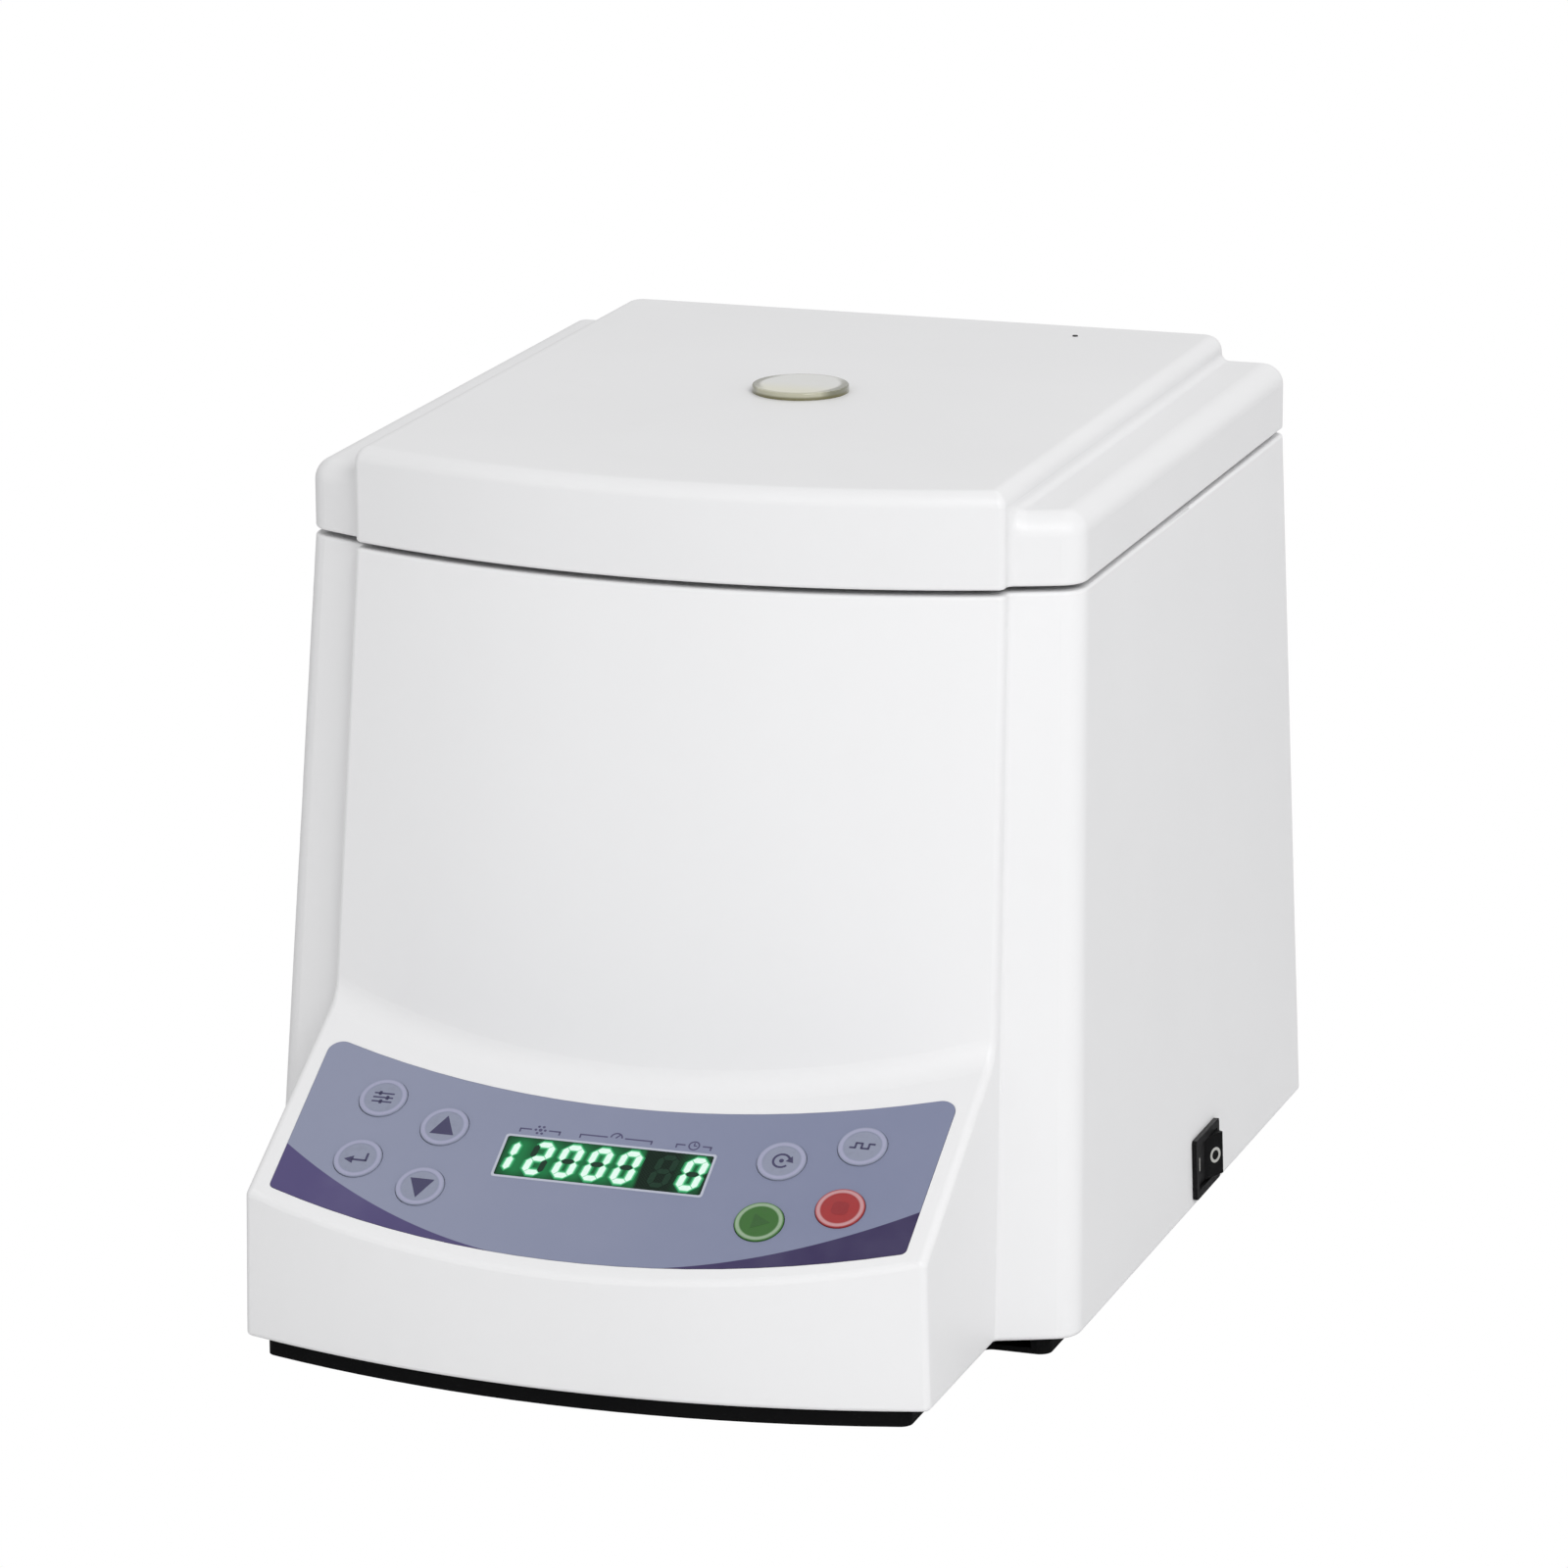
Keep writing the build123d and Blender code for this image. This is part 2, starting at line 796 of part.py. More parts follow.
def hinge_leaf(x, side):
    # side is -1 for the leaf on the housing and 1 for the leaf on the lid.
    half = hinge_width / 2
    middle = hinge_width * hinge_middle_share / 2
    gap = hinge_knuckle_gap / 2
    outer_spans = [(-half, -middle - gap), (middle + gap, half)]
    middle_spans = [(-middle + gap, middle - gap)]
    own, other = (outer_spans, middle_spans) if side < 0 else (middle_spans, outer_spans)
    far = hinge_axis_z + side * hinge_leaf_height
    leaf = block(x - half, x + half, back_top, back_top + hinge_leaf_thickness,
                 min(far, hinge_axis_z), max(far, hinge_axis_z))
    for start, end in other:
        leaf -= x_cylinder(hinge_barrel_radius + hinge_knuckle_gap, x + start - 2 * gap,
                           x + end + 2 * gap, hinge_axis_y, hinge_axis_z)
    for start, end in own:
        leaf += x_cylinder(hinge_barrel_radius, x + start, x + end, hinge_axis_y, hinge_axis_z)
    leaf -= x_cylinder(hinge_pin_radius + hinge_pin_fit, x - half, x + half, hinge_axis_y, hinge_axis_z)
    for hole in hinge_screw_holes(side):
        leaf -= hole
    return leaf


def hinge_leaves(side):
    return [hinge_leaf(x, side) for x in (hinge_x, -hinge_x)]


def hinge_pins():
    pins = []
    for x in (hinge_x, -hinge_x):
        half = hinge_width / 2
        pin = x_cylinder(hinge_pin_radius, x - half, x + half, hinge_axis_y, hinge_axis_z)
        for start in (x - half - hinge_pin_head, x + half):
            pin += x_cylinder(hinge_barrel_radius - hinge_pin_head, start, start + hinge_pin_head,
                              hinge_axis_y, hinge_axis_z)
        pins.append(pin)
    return pins


def hinge_screws(side):
    face = back_top + hinge_leaf_thickness
    return [y_cylinder(hinge_screw_head, face, face + hinge_screw_head_height, x, z)
            + y_cylinder(hinge_pin_radius, face - hinge_screw_length, face, x, z)
            for x, z in hinge_screw_places(side)]


# Chassis and chamber
bowl_floor = housing_top - bowl_depth
chamber_plate_top = bowl_floor - bowl_sheet - chamber_plate_drop
chamber_plate_bottom = chamber_plate_top - chamber_plate_thickness
motor_plate_top = chamber_plate_bottom - damper_height
motor_top = motor_plate_top - motor_plate_thickness
motor_bottom = motor_top - motor_height


def support_posts():
    posts = []
    for x, y in post_places():
        post = disc(post_radius, pan_floor_top, chamber_plate_bottom, x, y)
        for start in (pan_floor_top, chamber_plate_bottom - post_bore):
            post -= disc(screw_radius + screw_gap, start, start + post_bore, x, y)
        posts.append(post)
    return posts


def chassis_screws():
    screws = []
    for x, y in post_places():
        screws.append(pan_screw(x, y, foot_height - screw_head_height, pan_floor_top + post_screw_reach))
        top = disc(screw_head_radius, chamber_plate_top, chamber_plate_top + screw_head_height, x, y)
        shank_bottom = chamber_plate_bottom - post_screw_reach
        screws.append(top + disc(screw_radius, shank_bottom, chamber_plate_top, x, y))
    return screws


def chamber_plate():
    half = chamber_plate_half
    plate = block(-half, half, rotor_y - half, rotor_y + half, chamber_plate_bottom, chamber_plate_top)
    plate -= disc(chamber_plate_hole, chamber_plate_bottom, chamber_plate_top, 0, rotor_y)
    for x, y in post_places():
        plate -= disc(screw_radius + screw_gap, chamber_plate_bottom, chamber_plate_top, x, y)
    return plate


def guard_ring():
    inner = bowl_radius + bowl_sheet + guard_gap
    return ring(inner + guard_wall, inner, chamber_plate_top, chamber_plate_top + guard_height, 0, rotor_y)


def chamber_bowl():
    outer = disc(bowl_radius + bowl_sheet, bowl_floor - bowl_sheet, housing_top, 0, rotor_y)
    outer = fillet(edges_at_level(outer, bowl_floor - bowl_sheet), bowl_corner + bowl_sheet)
    inner = disc(bowl_radius, bowl_floor, housing_top + bowl_sheet, 0, rotor_y)
    inner = fillet(edges_at_level(inner, bowl_floor), bowl_corner)
    flange = disc(bowl_radius + bowl_sheet + bowl_flange, housing_top, housing_top + bowl_sheet, 0, rotor_y)
    hole = disc(bowl_shaft_hole, bowl_floor - bowl_sheet, bowl_floor, 0, rotor_y)
    return outer + flange - inner - hole


def chamber_seal():
    outer = bowl_radius + bowl_sheet + bowl_flange - seal_inset
    return ring(outer, outer - seal_width, housing_top + bowl_sheet, liner_bottom, 0, rotor_y)


def motor_dampers():
    half = damper_height / 2
    reach = damper_circle * math.sqrt(0.5)
    dampers = []
    for x, y in ((reach, reach), (-reach, reach), (reach, -reach), (-reach, -reach)):
        lower = Cone(damper_radius, damper_waist, half, align=low)
        upper = Pos(0, 0, half) * Cone(damper_waist, damper_radius, half, align=low)
        dampers.append(Pos(x, rotor_y + y, motor_plate_top) * (lower + upper))
    return dampers


def motor_plate():
    return ring(motor_plate_radius, shaft_radius + boot_gap, motor_top, motor_plate_top, 0, rotor_y)


# Motor
def bearing_levels():
    return (motor_bottom + motor_end - bearing_width, motor_top - motor_end)


def motor_body():
    body = disc(motor_radius, motor_bottom, motor_top, 0, rotor_y)
    body -= disc(motor_radius - motor_wall, motor_bottom + motor_end, motor_top - motor_end, 0, rotor_y)
    body -= disc(shaft_radius + boot_gap, motor_bottom, motor_top, 0, rotor_y)
    for level in bearing_levels():
        body -= disc(bearing_outer + shaft_fit, level, level + bearing_width, 0, rotor_y)
    return body


def motor_bearings():
    return [ring(bearing_outer, shaft_radius + shaft_fit, level, level + bearing_width, 0, rotor_y)
            for level in bearing_levels()]


def stator_span():
    middle = (motor_top + motor_bottom) / 2
    return middle - stator_height / 2, middle + stator_height / 2


def stator_core():
    z_low, z_high = stator_span()
    core = ring(motor_radius - motor_wall - shaft_fit, stator_inner, z_low, z_high, 0, rotor_y)
    for index in range(stator_slots):
        turn = Pos(0, rotor_y, z_low) * Rot(0, 0, index * 360 / stator_slots)
        slot = Box(stator_slot_depth, stator_slot_width, stator_height, align=low)
        core -= turn * Pos(stator_inner - air_gap + stator_slot_depth / 2, 0, 0) * slot
    return core


def rotor_core():
    z_low, z_high = stator_span()
    return ring(stator_inner - air_gap, shaft_radius + shaft_fit, z_low, z_high, 0, rotor_y)


# Rotor stack on the shaft
collar_bottom = bowl_floor + boot_height + collar_gap
hub_bottom = collar_bottom + collar_thickness
rotor_bottom = hub_bottom + hub_flange
rotor_floor_top = rotor_bottom + rotor_floor
rim_top = rotor_floor_top + rotor_rim_height
cover_top = rim_top + cover_thickness + cover_boss_height
knob_top = cover_top + knob_height


def shaft_boot():
    return ring(boot_outer, shaft_radius + boot_gap, bowl_floor, bowl_floor + boot_height, 0, rotor_y)


def drive_shaft():
    shaft = disc(shaft_radius, motor_bottom - shaft_tail, rim_top, 0, rotor_y)
    shaft += disc(collar_radius, collar_bottom, hub_bottom, 0, rotor_y)
    return shaft + disc(stud_radius, rim_top, rim_top + stud_reach, 0, rotor_y)


def rotor_hub():
    hub = disc(hub_radius, hub_bottom, rotor_bottom, 0, rotor_y)
    hub += disc(hub_spigot_radius, rotor_bottom, rim_top, 0, rotor_y)
    return hub - disc(shaft_radius + hub_fit, hub_bottom, rim_top, 0, rotor_y)


def rotor_disc():
    bed_outer = rotor_radius - rotor_rim - gasket_width - shaft_fit
    rotor = disc(rotor_radius, rotor_bottom, rim_top, 0, rotor_y)
    rotor -= ring(rotor_radius - rotor_rim, bed_outer, rotor_floor_top, rim_top, 0, rotor_y)
    rotor -= disc(bed_outer, rotor_floor_top + tube_bed_height, rim_top, 0, rotor_y)
    rotor -= disc(hub_spigot_radius + hub_fit, rotor_bottom, rim_top, 0, rotor_y)
    length = tube_length + tube_slot_width
    bed_top = rotor_floor_top + tube_bed_height
    for index in range(tube_slots):
        turn = Pos(0, rotor_y, bed_top - tube_slot_depth) * Rot(0, 0, index * 360 / tube_slots)
        slot = Box(length, tube_slot_width, tube_slot_depth, align=low)
        rotor -= turn * Pos(bed_outer - length / 2, 0, 0) * slot
    return rotor


def rotor_gasket():
    outer = rotor_radius - rotor_rim
    return ring(outer, outer - gasket_width, rotor_floor_top, rim_top, 0, rotor_y)


def rotor_cover():
    cover = disc(rotor_radius, rim_top, rim_top + cover_thickness, 0, rotor_y)
    cover += disc(cover_boss_radius, rim_top, cover_top, 0, rotor_y)
    return cover - disc(stud_radius + screw_gap, rim_top, cover_top, 0, rotor_y)


def cover_knob():
    knob = disc(knob_radius, cover_top, knob_top, 0, rotor_y)
    knob = fillet(edges_at_level(knob, knob_top), knob_flute_radius)
    for index in range(knob_flutes):
        angle = math.radians(index * 360 / knob_flutes)
        x = (knob_radius + knob_flute_radius / 2) * math.cos(angle)
        y = (knob_radius + knob_flute_radius / 2) * math.sin(angle)
        knob -= disc(knob_flute_radius, cover_top, knob_top, x, rotor_y + y)
    return knob - disc(stud_radius + stud_fit, cover_top, rim_top + stud_reach + stud_radius, 0, rotor_y)


# Lid lock behind the front wall
bolt_z = deck_bottom - bolt_below_deck
bolt_start = striker_thickness / 2 + striker_side_gap + bolt_fit
striker_tip = liner_bottom - striker_reach


def striker_channel(z_low, z_high):
    half_x = striker_thickness / 2 + striker_side_gap
    half_y = striker_width / 2 + striker_side_gap
    return block(-half_x, half_x, lock_y - half_y, lock_y + half_y, z_low, z_high)


def lock_body():
    body = block(-lock_half_width, lock_half_width, lock_y - lock_half_depth, lock_y + lock_half_depth,
                 deck_bottom - lock_drop, deck_bottom)
    body -= striker_channel(striker_tip - striker_side_gap, deck_bottom)
    bore_end = bolt_start - bolt_travel - armature_play
    return body - x_cylinder(bolt_radius + bolt_fit, bore_end, lock_half_width, lock_y, bolt_z)


def lock_solenoid():
    start = lock_half_width
    case = block(start, start + solenoid_length, lock_y - solenoid_half, lock_y + solenoid_half,
                 bolt_z - solenoid_half, bolt_z + solenoid_half)
    case -= x_cylinder(bolt_radius + bolt_fit, start, start + solenoid_length, lock_y, bolt_z)
    return case - x_cylinder(armature_radius + bolt_fit, start + solenoid_wall, start + solenoid_length,
                             lock_y, bolt_z)


def lock_bolt():
    tail = lock_half_width + solenoid_length - armature_play
    return (x_cylinder(bolt_radius, bolt_start, tail - armature_length, lock_y, bolt_z)
            + x_cylinder(armature_radius, tail - armature_length, tail, lock_y, bolt_z))


def lid_striker():
    half_x = striker_thickness / 2
    half_y = striker_width / 2
    striker = block(-half_x, half_x, lock_y - half_y, lock_y + half_y, striker_tip, liner_bottom)
    foot_bottom = liner_bottom - striker_foot
    striker += block(-half_y, half_y, lock_y - half_y, lock_y + half_y, foot_bottom, liner_bottom)
    eye = striker_eye / 2
    return striker - block(-half_y, half_y, lock_y - eye, lock_y + eye, bolt_z - eye, bolt_z + eye)


# Front panel, in the panel's own frame: z = 0 is the sloped surface
def on_panel(shape):
    return panel.location * shape


def panel_disc(radius, z_low, z_high, place):
    return Pos(place[0], place[1], z_low) * Cylinder(radius, z_high - z_low, align=low)


def panel_block(width, height, z_low, z_high, x=0.0, y=0.0):
    return Pos(x, y, z_low) * Box(width, height, z_high - z_low, align=low)


def overlay_face(grow):
    half = overlay_half + grow
    bottom = -grow
    top = overlay_top_corner + grow
    face = make_face(Curve() + [
        ThreePointArc((-half, bottom), (0, bottom - overlay_bottom_sag), (half, bottom)),
        Line((half, bottom), (half, top)),
        ThreePointArc((half, top), (0, top - overlay_top_sag), (-half, top)),
        Line((-half, top), (-half, bottom))])
    upper = [corner for corner in face.vertices() if corner.Y > grow]
    face = fillet(upper, overlay_corner_radius + grow)
    lower = [corner for corner in face.vertices() if abs(corner.Y - bottom) < 0.01]
    return fillet(lower, overlay_corner_radius / 2)


def key_places():
    outer_high, inner_high, outer_low, inner_low = key_rows
    return {
        "set_key": (-key_outer_x, outer_high),
        "up_key": (-key_inner_x, inner_high),
        "enter_key": (-key_outer_x, outer_low),
        "down_key": (-key_inner_x, inner_low),
        "force_key": (key_inner_x, inner_high),
        "short_run_key": (key_outer_x, outer_high),
        "start_key": (key_inner_x, inner_low),
        "stop_key": (key_outer_x, outer_low),
    }


overlay_top = overlay_thickness - overlay_sunk


def panel_cuts():
    cuts = Pos(0, 0, -overlay_sunk) * extrude(overlay_face(overlay_gap), overlay_sunk + overlay_thickness)
    for place in key_places().values():
        cuts += panel_disc(key_radius + key_wall_gap, -2 * wall, overlay_thickness, place)
    cuts += panel_block(display_width + 2 * display_gap, display_height + 2 * display_gap,
                        overlay_top - display_thickness, overlay_thickness, 0, display_t)
    cuts += panel_block(display_width - 2 * display_ledge, display_height - 2 * display_ledge,
                        -2 * wall, overlay_thickness, 0, display_t)
    return on_panel(cuts)


def control_overlay():
    overlay = Pos(0, 0, -overlay_sunk) * extrude(overlay_face(0.0), overlay_thickness)
    for place in key_places().values():
        overlay -= panel_disc(key_radius + key_gap, -overlay_sunk, overlay_top, place)
    overlay -= panel_block(display_width + 2 * display_gap, display_height + 2 * display_gap,
                           -overlay_sunk, overlay_top, 0, display_t)
    return on_panel(overlay)


def display_window():
    window_bottom = overlay_top - display_thickness
    return on_panel(panel_block(display_width, display_height, window_bottom, overlay_top, 0, display_t))


def panel_key(place):
    inner = -wall - key_play
    key = panel_disc(key_radius, inner - key_flange_thickness, overlay_top + key_proud, place)
    rim = [edge for edge in key.edges() if edge.position_at(0.5).Z > overlay_top]
    key = fillet(rim, key_proud / 2)
    key += panel_disc(key_radius + key_flange, inner - key_flange_thickness, inner, place)
    key += panel_disc(key_stem_radius, inner - key_flange_thickness - key_stem_length, inner, place)
    return on_panel(key)


def control_board():
    height = board_high - board_low
    board = panel_block(2 * board_half_width, height, -board_depth - board_thickness, -board_depth,
                        0, board_low + height / 2)
    for place in key_places().values():
        board += panel_block(tact_size, tact_size, -board_depth, -board_depth + tact_height, *place)
        board += panel_disc(tact_button, -board_depth, tact_top(), place)
    for place in panel_post_places():
        board -= panel_disc(panel_post_radius / 2, -board_depth - board_thickness, -board_depth, place)
    return on_panel(board)


def tact_top():
    return -wall - key_play - key_flange_thickness - key_stem_length - key_travel - tact_gap


def panel_post_places():
    return [(side * panel_post_x, t) for side in (1, -1) for t in (panel_post_low, panel_post_high)]


def panel_posts():
    return [on_panel(panel_disc(panel_post_radius, -board_depth, -wall, place))
            for place in panel_post_places()]


def display_module():
    width = display_width - 2 * (display_ledge + module_gap)
    height = display_height - 2 * (display_ledge + module_gap)
    return on_panel(panel_block(width, height, -board_depth, overlay_top - display_thickness - module_drop,
                                0, display_t))


# Rocker switch, in a frame on the right wall: x runs to the rear, y up, z outwards
switch_frame_plane = side_plane(switch_y, switch_z)


def on_side(shape):
    return switch_frame_plane.location * shape


def rocker_axis(radius, half_length):
    pin = Cylinder(radius, 2 * half_length, align=low)
    return Pos(0, half_length, -rocker_pivot_depth) * Rot(90, 0, 0) * pin


def switch_hole():
    length = switch_body_length + 2 * switch_hole_gap
    width = switch_body_width + 2 * switch_hole_gap
    return on_side(panel_block(length, width, -3 * wall, wall))


def switch_frame():
    outline = fillet(Rectangle(switch_bezel_length, switch_bezel_width).vertices(), seam_edge_radius)
    frame = extrude(outline, switch_bezel_height)
    frame += panel_block(switch_body_length, switch_body_width, -switch_body_depth, 0)
    frame -= panel_block(switch_well_length, switch_well_width, -switch_well_depth, switch_bezel_height)
    return on_side(frame - rocker_axis(rocker_pin_radius + rocker_pin_fit, switch_body_width / 2))


def switch_rocker():
    floor = rocker_pivot_depth - switch_well_depth + rocker_pin_radius
    low_point = floor - rocker_pivot_depth
    points = [(-rocker_half, rocker_end), (0, rocker_dip), (rocker_half, rocker_end),
              (rocker_half, -rocker_pivot_depth), (rocker_half / 2, low_point),
              (-rocker_half / 2, low_point), (-rocker_half, -rocker_pivot_depth)]
    half_width = switch_well_width / 2 - rocker_side_gap
    profile = make_face(Plane.XZ * Polyline(points, close=True))
    rocker = extrude(profile, half_width, both=True)
    rocker &= rocker_axis(rocker_half, half_width)
    rocker += rocker_axis(rocker_pin_radius, switch_body_width / 2 - rocker_side_gap)
    tilt = Pos(0, 0, -rocker_pivot_depth) * Rot(0, -rocker_tilt, 0) * Pos(0, 0, rocker_pivot_depth)
    return on_side(tilt * rocker)


# Rear wall: recessed service bay with inlet and fuse, fan with its grille
service_floor = rear_plane(service_x, service_z).offset(-service_depth)


def in_bay(shape):
    return service_floor.location * shape


def inlet_hole():
    width = inlet_body_width + 2 * inlet_gap
    height = inlet_body_height + 2 * inlet_gap
    return in_bay(panel_block(width, height, -2 * wall, wall, inlet_offset))


def socket_outline():
    half_width = inlet_socket_width / 2
    half_height = inlet_socket_height / 2
    cut = half_height / 2
    points = [(-half_width, -half_height), (half_width, -half_height),
              (half_width, half_height - cut), (half_width - cut, half_height),
              (cut - half_width, half_height), (-half_width, half_height - cut)]
    return Pos(inlet_offset, 0) * make_face(Polyline(points, close=True))


def power_inlet():
    flange = Rectangle(inlet_flange_width, inlet_flange_height)
    flange = fillet(flange.vertices(), service_corner / 2)
    inlet = extrude(Pos(inlet_offset, 0) * flange, inlet_flange_thickness)
    inlet += panel_block(inlet_body_width, inlet_body_height, -inlet_body_depth, 0, inlet_offset)
    bottom = inlet_flange_thickness - inlet_socket_depth
    return in_bay(inlet - Pos(0, 0, bottom) * extrude(socket_outline(), inlet_socket_depth))


def inlet_pins():
    bottom = inlet_flange_thickness - inlet_socket_depth
    places = ((-inlet_pin_spacing, -inlet_pin_drop), (0, inlet_pin_drop),
              (inlet_pin_spacing, -inlet_pin_drop))
    return [in_bay(panel_block(inlet_pin_thickness, inlet_pin_width, bottom, bottom + inlet_pin_reach,
                               inlet_offset + x, y)) for x, y in places]


def bay_disc(radius, z_low, z_high, x):
    return in_bay(panel_disc(radius, z_low, z_high, (x, 0)))


def fuse_hole():
    return bay_disc(fuse_radius + inlet_gap, -2 * wall, wall, fuse_offset)


def fuse_holder():
    holder = bay_disc(fuse_bezel_radius, 0, fuse_bezel_height, fuse_offset)
    holder += bay_disc(fuse_radius, -fuse_depth, 0, fuse_offset)
    return holder - bay_disc(fuse_cap_radius + fuse_cap_fit, -fuse_cap_plug, fuse_bezel_height, fuse_offset)


def fuse_cap():
    cap = bay_disc(fuse_cap_radius, -fuse_cap_plug, fuse_cap_height, fuse_offset)
    bottom = fuse_cap_height - fuse_slot
    slot = panel_block(2 * fuse_cap_radius, fuse_slot, bottom, fuse_cap_height, fuse_offset)
    return cap - in_bay(slot)


fan_plane = rear_plane(fan_x, fan_z)


def on_rear(shape):
    return fan_plane.location * shape


def grille_hole():
    size = fan_size + 2 * grille_gap
    return on_rear(panel_block(size, size, -2 * wall, wall))


def rear_grille():
    outline = fillet(Rectangle(grille_size, grille_size).vertices(), service_corner)
    grille = extrude(outline, grille_thickness)
    grille += panel_block(fan_size - grille_gap, fan_size - grille_gap, -wall, 0)
    for index in range(grille_slots):
        y = (index - (grille_slots - 1) / 2) * grille_slot_pitch
        grille -= panel_block(grille_slot_length, grille_slot_width, -wall, grille_thickness, 0, y)
    for place in fan_screw_places():
        grille -= panel_disc(hinge_pin_radius + screw_gap, -wall, grille_thickness, place)
    return on_rear(grille)


def fan_screw_places():
    ends = (fan_screw_spread, -fan_screw_spread)
    return [(x, y) for x in ends for y in ends]


def fan_screws():
    tip = -wall - fan_depth / 2
    top = grille_thickness + hinge_screw_head_height
    return [on_rear(panel_disc(hinge_screw_head, grille_thickness, top, place)
                    + panel_disc(hinge_pin_radius, tip, grille_thickness, place))
            for place in fan_screw_places()]


def fan_frame():
    back = -wall - fan_depth
    frame = panel_block(fan_size, fan_size, back, -wall)
    frame -= panel_disc(fan_bore, back, -wall, (0, 0))
    for index in range(3):
        strut = Box(fan_bore + fan_wall, 2 * fan_wall, fan_wall, align=(Align.MIN, Align.CENTER, Align.MIN))
        frame += Pos(0, 0, back) * Rot(0, 0, 120 * index + 90) * strut
    frame += panel_disc(fan_hub, back, back + fan_wall, (0, 0))
    frame -= panel_disc(fan_pin + fan_pin_fit, back, back + fan_wall, (0, 0))
    for place in fan_screw_places():
        frame -= panel_disc(hinge_pin_radius + screw_gap, back, -wall, place)
    return on_rear(frame)


def fan_rotor():
    back = -wall - fan_depth + fan_wall + fan_play
    front = -wall - fan_play
    tip = fan_bore - fan_blade_gap
    rotor = panel_disc(fan_hub, back, front, (0, 0))
    height = front - back
    span = ring(tip, fan_hub - fan_play, 0, height)
    for index in range(fan_blades):
        blade = Box(tip, fan_blade_thickness, 2 * height, align=(Align.MIN, Align.CENTER, Align.CENTER))
        blade = Pos(0, 0, height / 2) * Rot(fan_blade_pitch, 0, 0) * blade
        blade = Rot(0, 0, index * 360 / fan_blades) * blade
        rotor += Pos(0, 0, back) * (blade & span)
    return on_rear(rotor + panel_disc(fan_pin, back - fan_wall - fan_play, back, (0, 0)))


# Drive electronics on the pan
drive_board_bottom = pan_floor_top + drive_board_rise
drive_board_top = drive_board_bottom + drive_board_thickness


def board_standoffs():
    return [ring(standoff_radius, screw_radius + screw_gap, pan_floor_top, drive_board_bottom, x, y)
            for x, y in drive_board_places()]


def drive_board():
    half_x = drive_board_width / 2
    half_y = drive_board_depth / 2
    board = block(-half_x, half_x, drive_board_y - half_y, drive_board_y + half_y,
                  drive_board_bottom, drive_board_top)
    for x, y in drive_board_places():
        board -= disc(screw_radius + screw_gap, drive_board_bottom, drive_board_top, x, y)
    return board


def board_screws():
    screws = []
    for x, y in drive_board_places():
        screws.append(pan_screw(x, y, foot_height - screw_head_height, drive_board_bottom - screw_radius))
        top = disc(standoff_radius, drive_board_top, drive_board_top + screw_radius, x, y)
        screws.append(top + disc(screw_radius, drive_board_bottom - screw_radius / 2, drive_board_top, x, y))
    return screws


def heat_sink():
    x = drive_board_width / 2 - standoff_inset - sink_width
    bottom = drive_board_top
    start_y = drive_board_y - sink_length / 2
    end_y = drive_board_y + sink_length / 2
    sink = block(x, x + sink_width, start_y, end_y, bottom, bottom + sink_height)
    gap = (sink_width - sink_fins * sink_fin) / (sink_fins - 1)
    for index in range(sink_fins - 1):
        start = x + sink_fin + index * (gap + sink_fin)
        sink -= block(start, start + gap, start_y, end_y, bottom + sink_base, bottom + sink_height)
    return sink


def capacitors():
    x = -drive_board_width / 2 + standoff_inset + capacitor_radius
    top = drive_board_top + capacitor_height
    return [disc(capacitor_radius, drive_board_top, top, x, drive_board_y + side * capacitor_spread)
            for side in (1, -1)]


def ribbon_cable():
    start = panel.from_local_coords(Vector(0, display_t, -board_depth - board_thickness))
    inward = panel.z_dir * -1
    drop = (start.Z - ribbon_sag_height) / 2 / -inward.Z
    first = start + inward * drop
    end_y = drive_board_y - drive_board_depth / 2 + ribbon_bend
    route = [(0, start.Y, start.Z), (0, first.Y, first.Z),
             (0, first.Y + 4 * ribbon_bend, ribbon_sag_height),
             (0, end_y, ribbon_sag_height + ribbon_bend), (0, end_y, drive_board_top)]
    path = FilletPolyline(*route, radius=ribbon_bend / 2)
    start = Plane(origin=path @ 0, x_dir=(1, 0, 0), z_dir=path % 0)
    return sweep(start * Rectangle(ribbon_width, ribbon_thickness), path)


def write(name, shape):
    pieces = shape if isinstance(shape, list) else [shape]
    solids = [solid for piece in pieces for solid in piece.solids()]
    whole = solids[0] if len(solids) == 1 else Compound(children=solids)
    export_step(whole, f"parts/{name}.step")


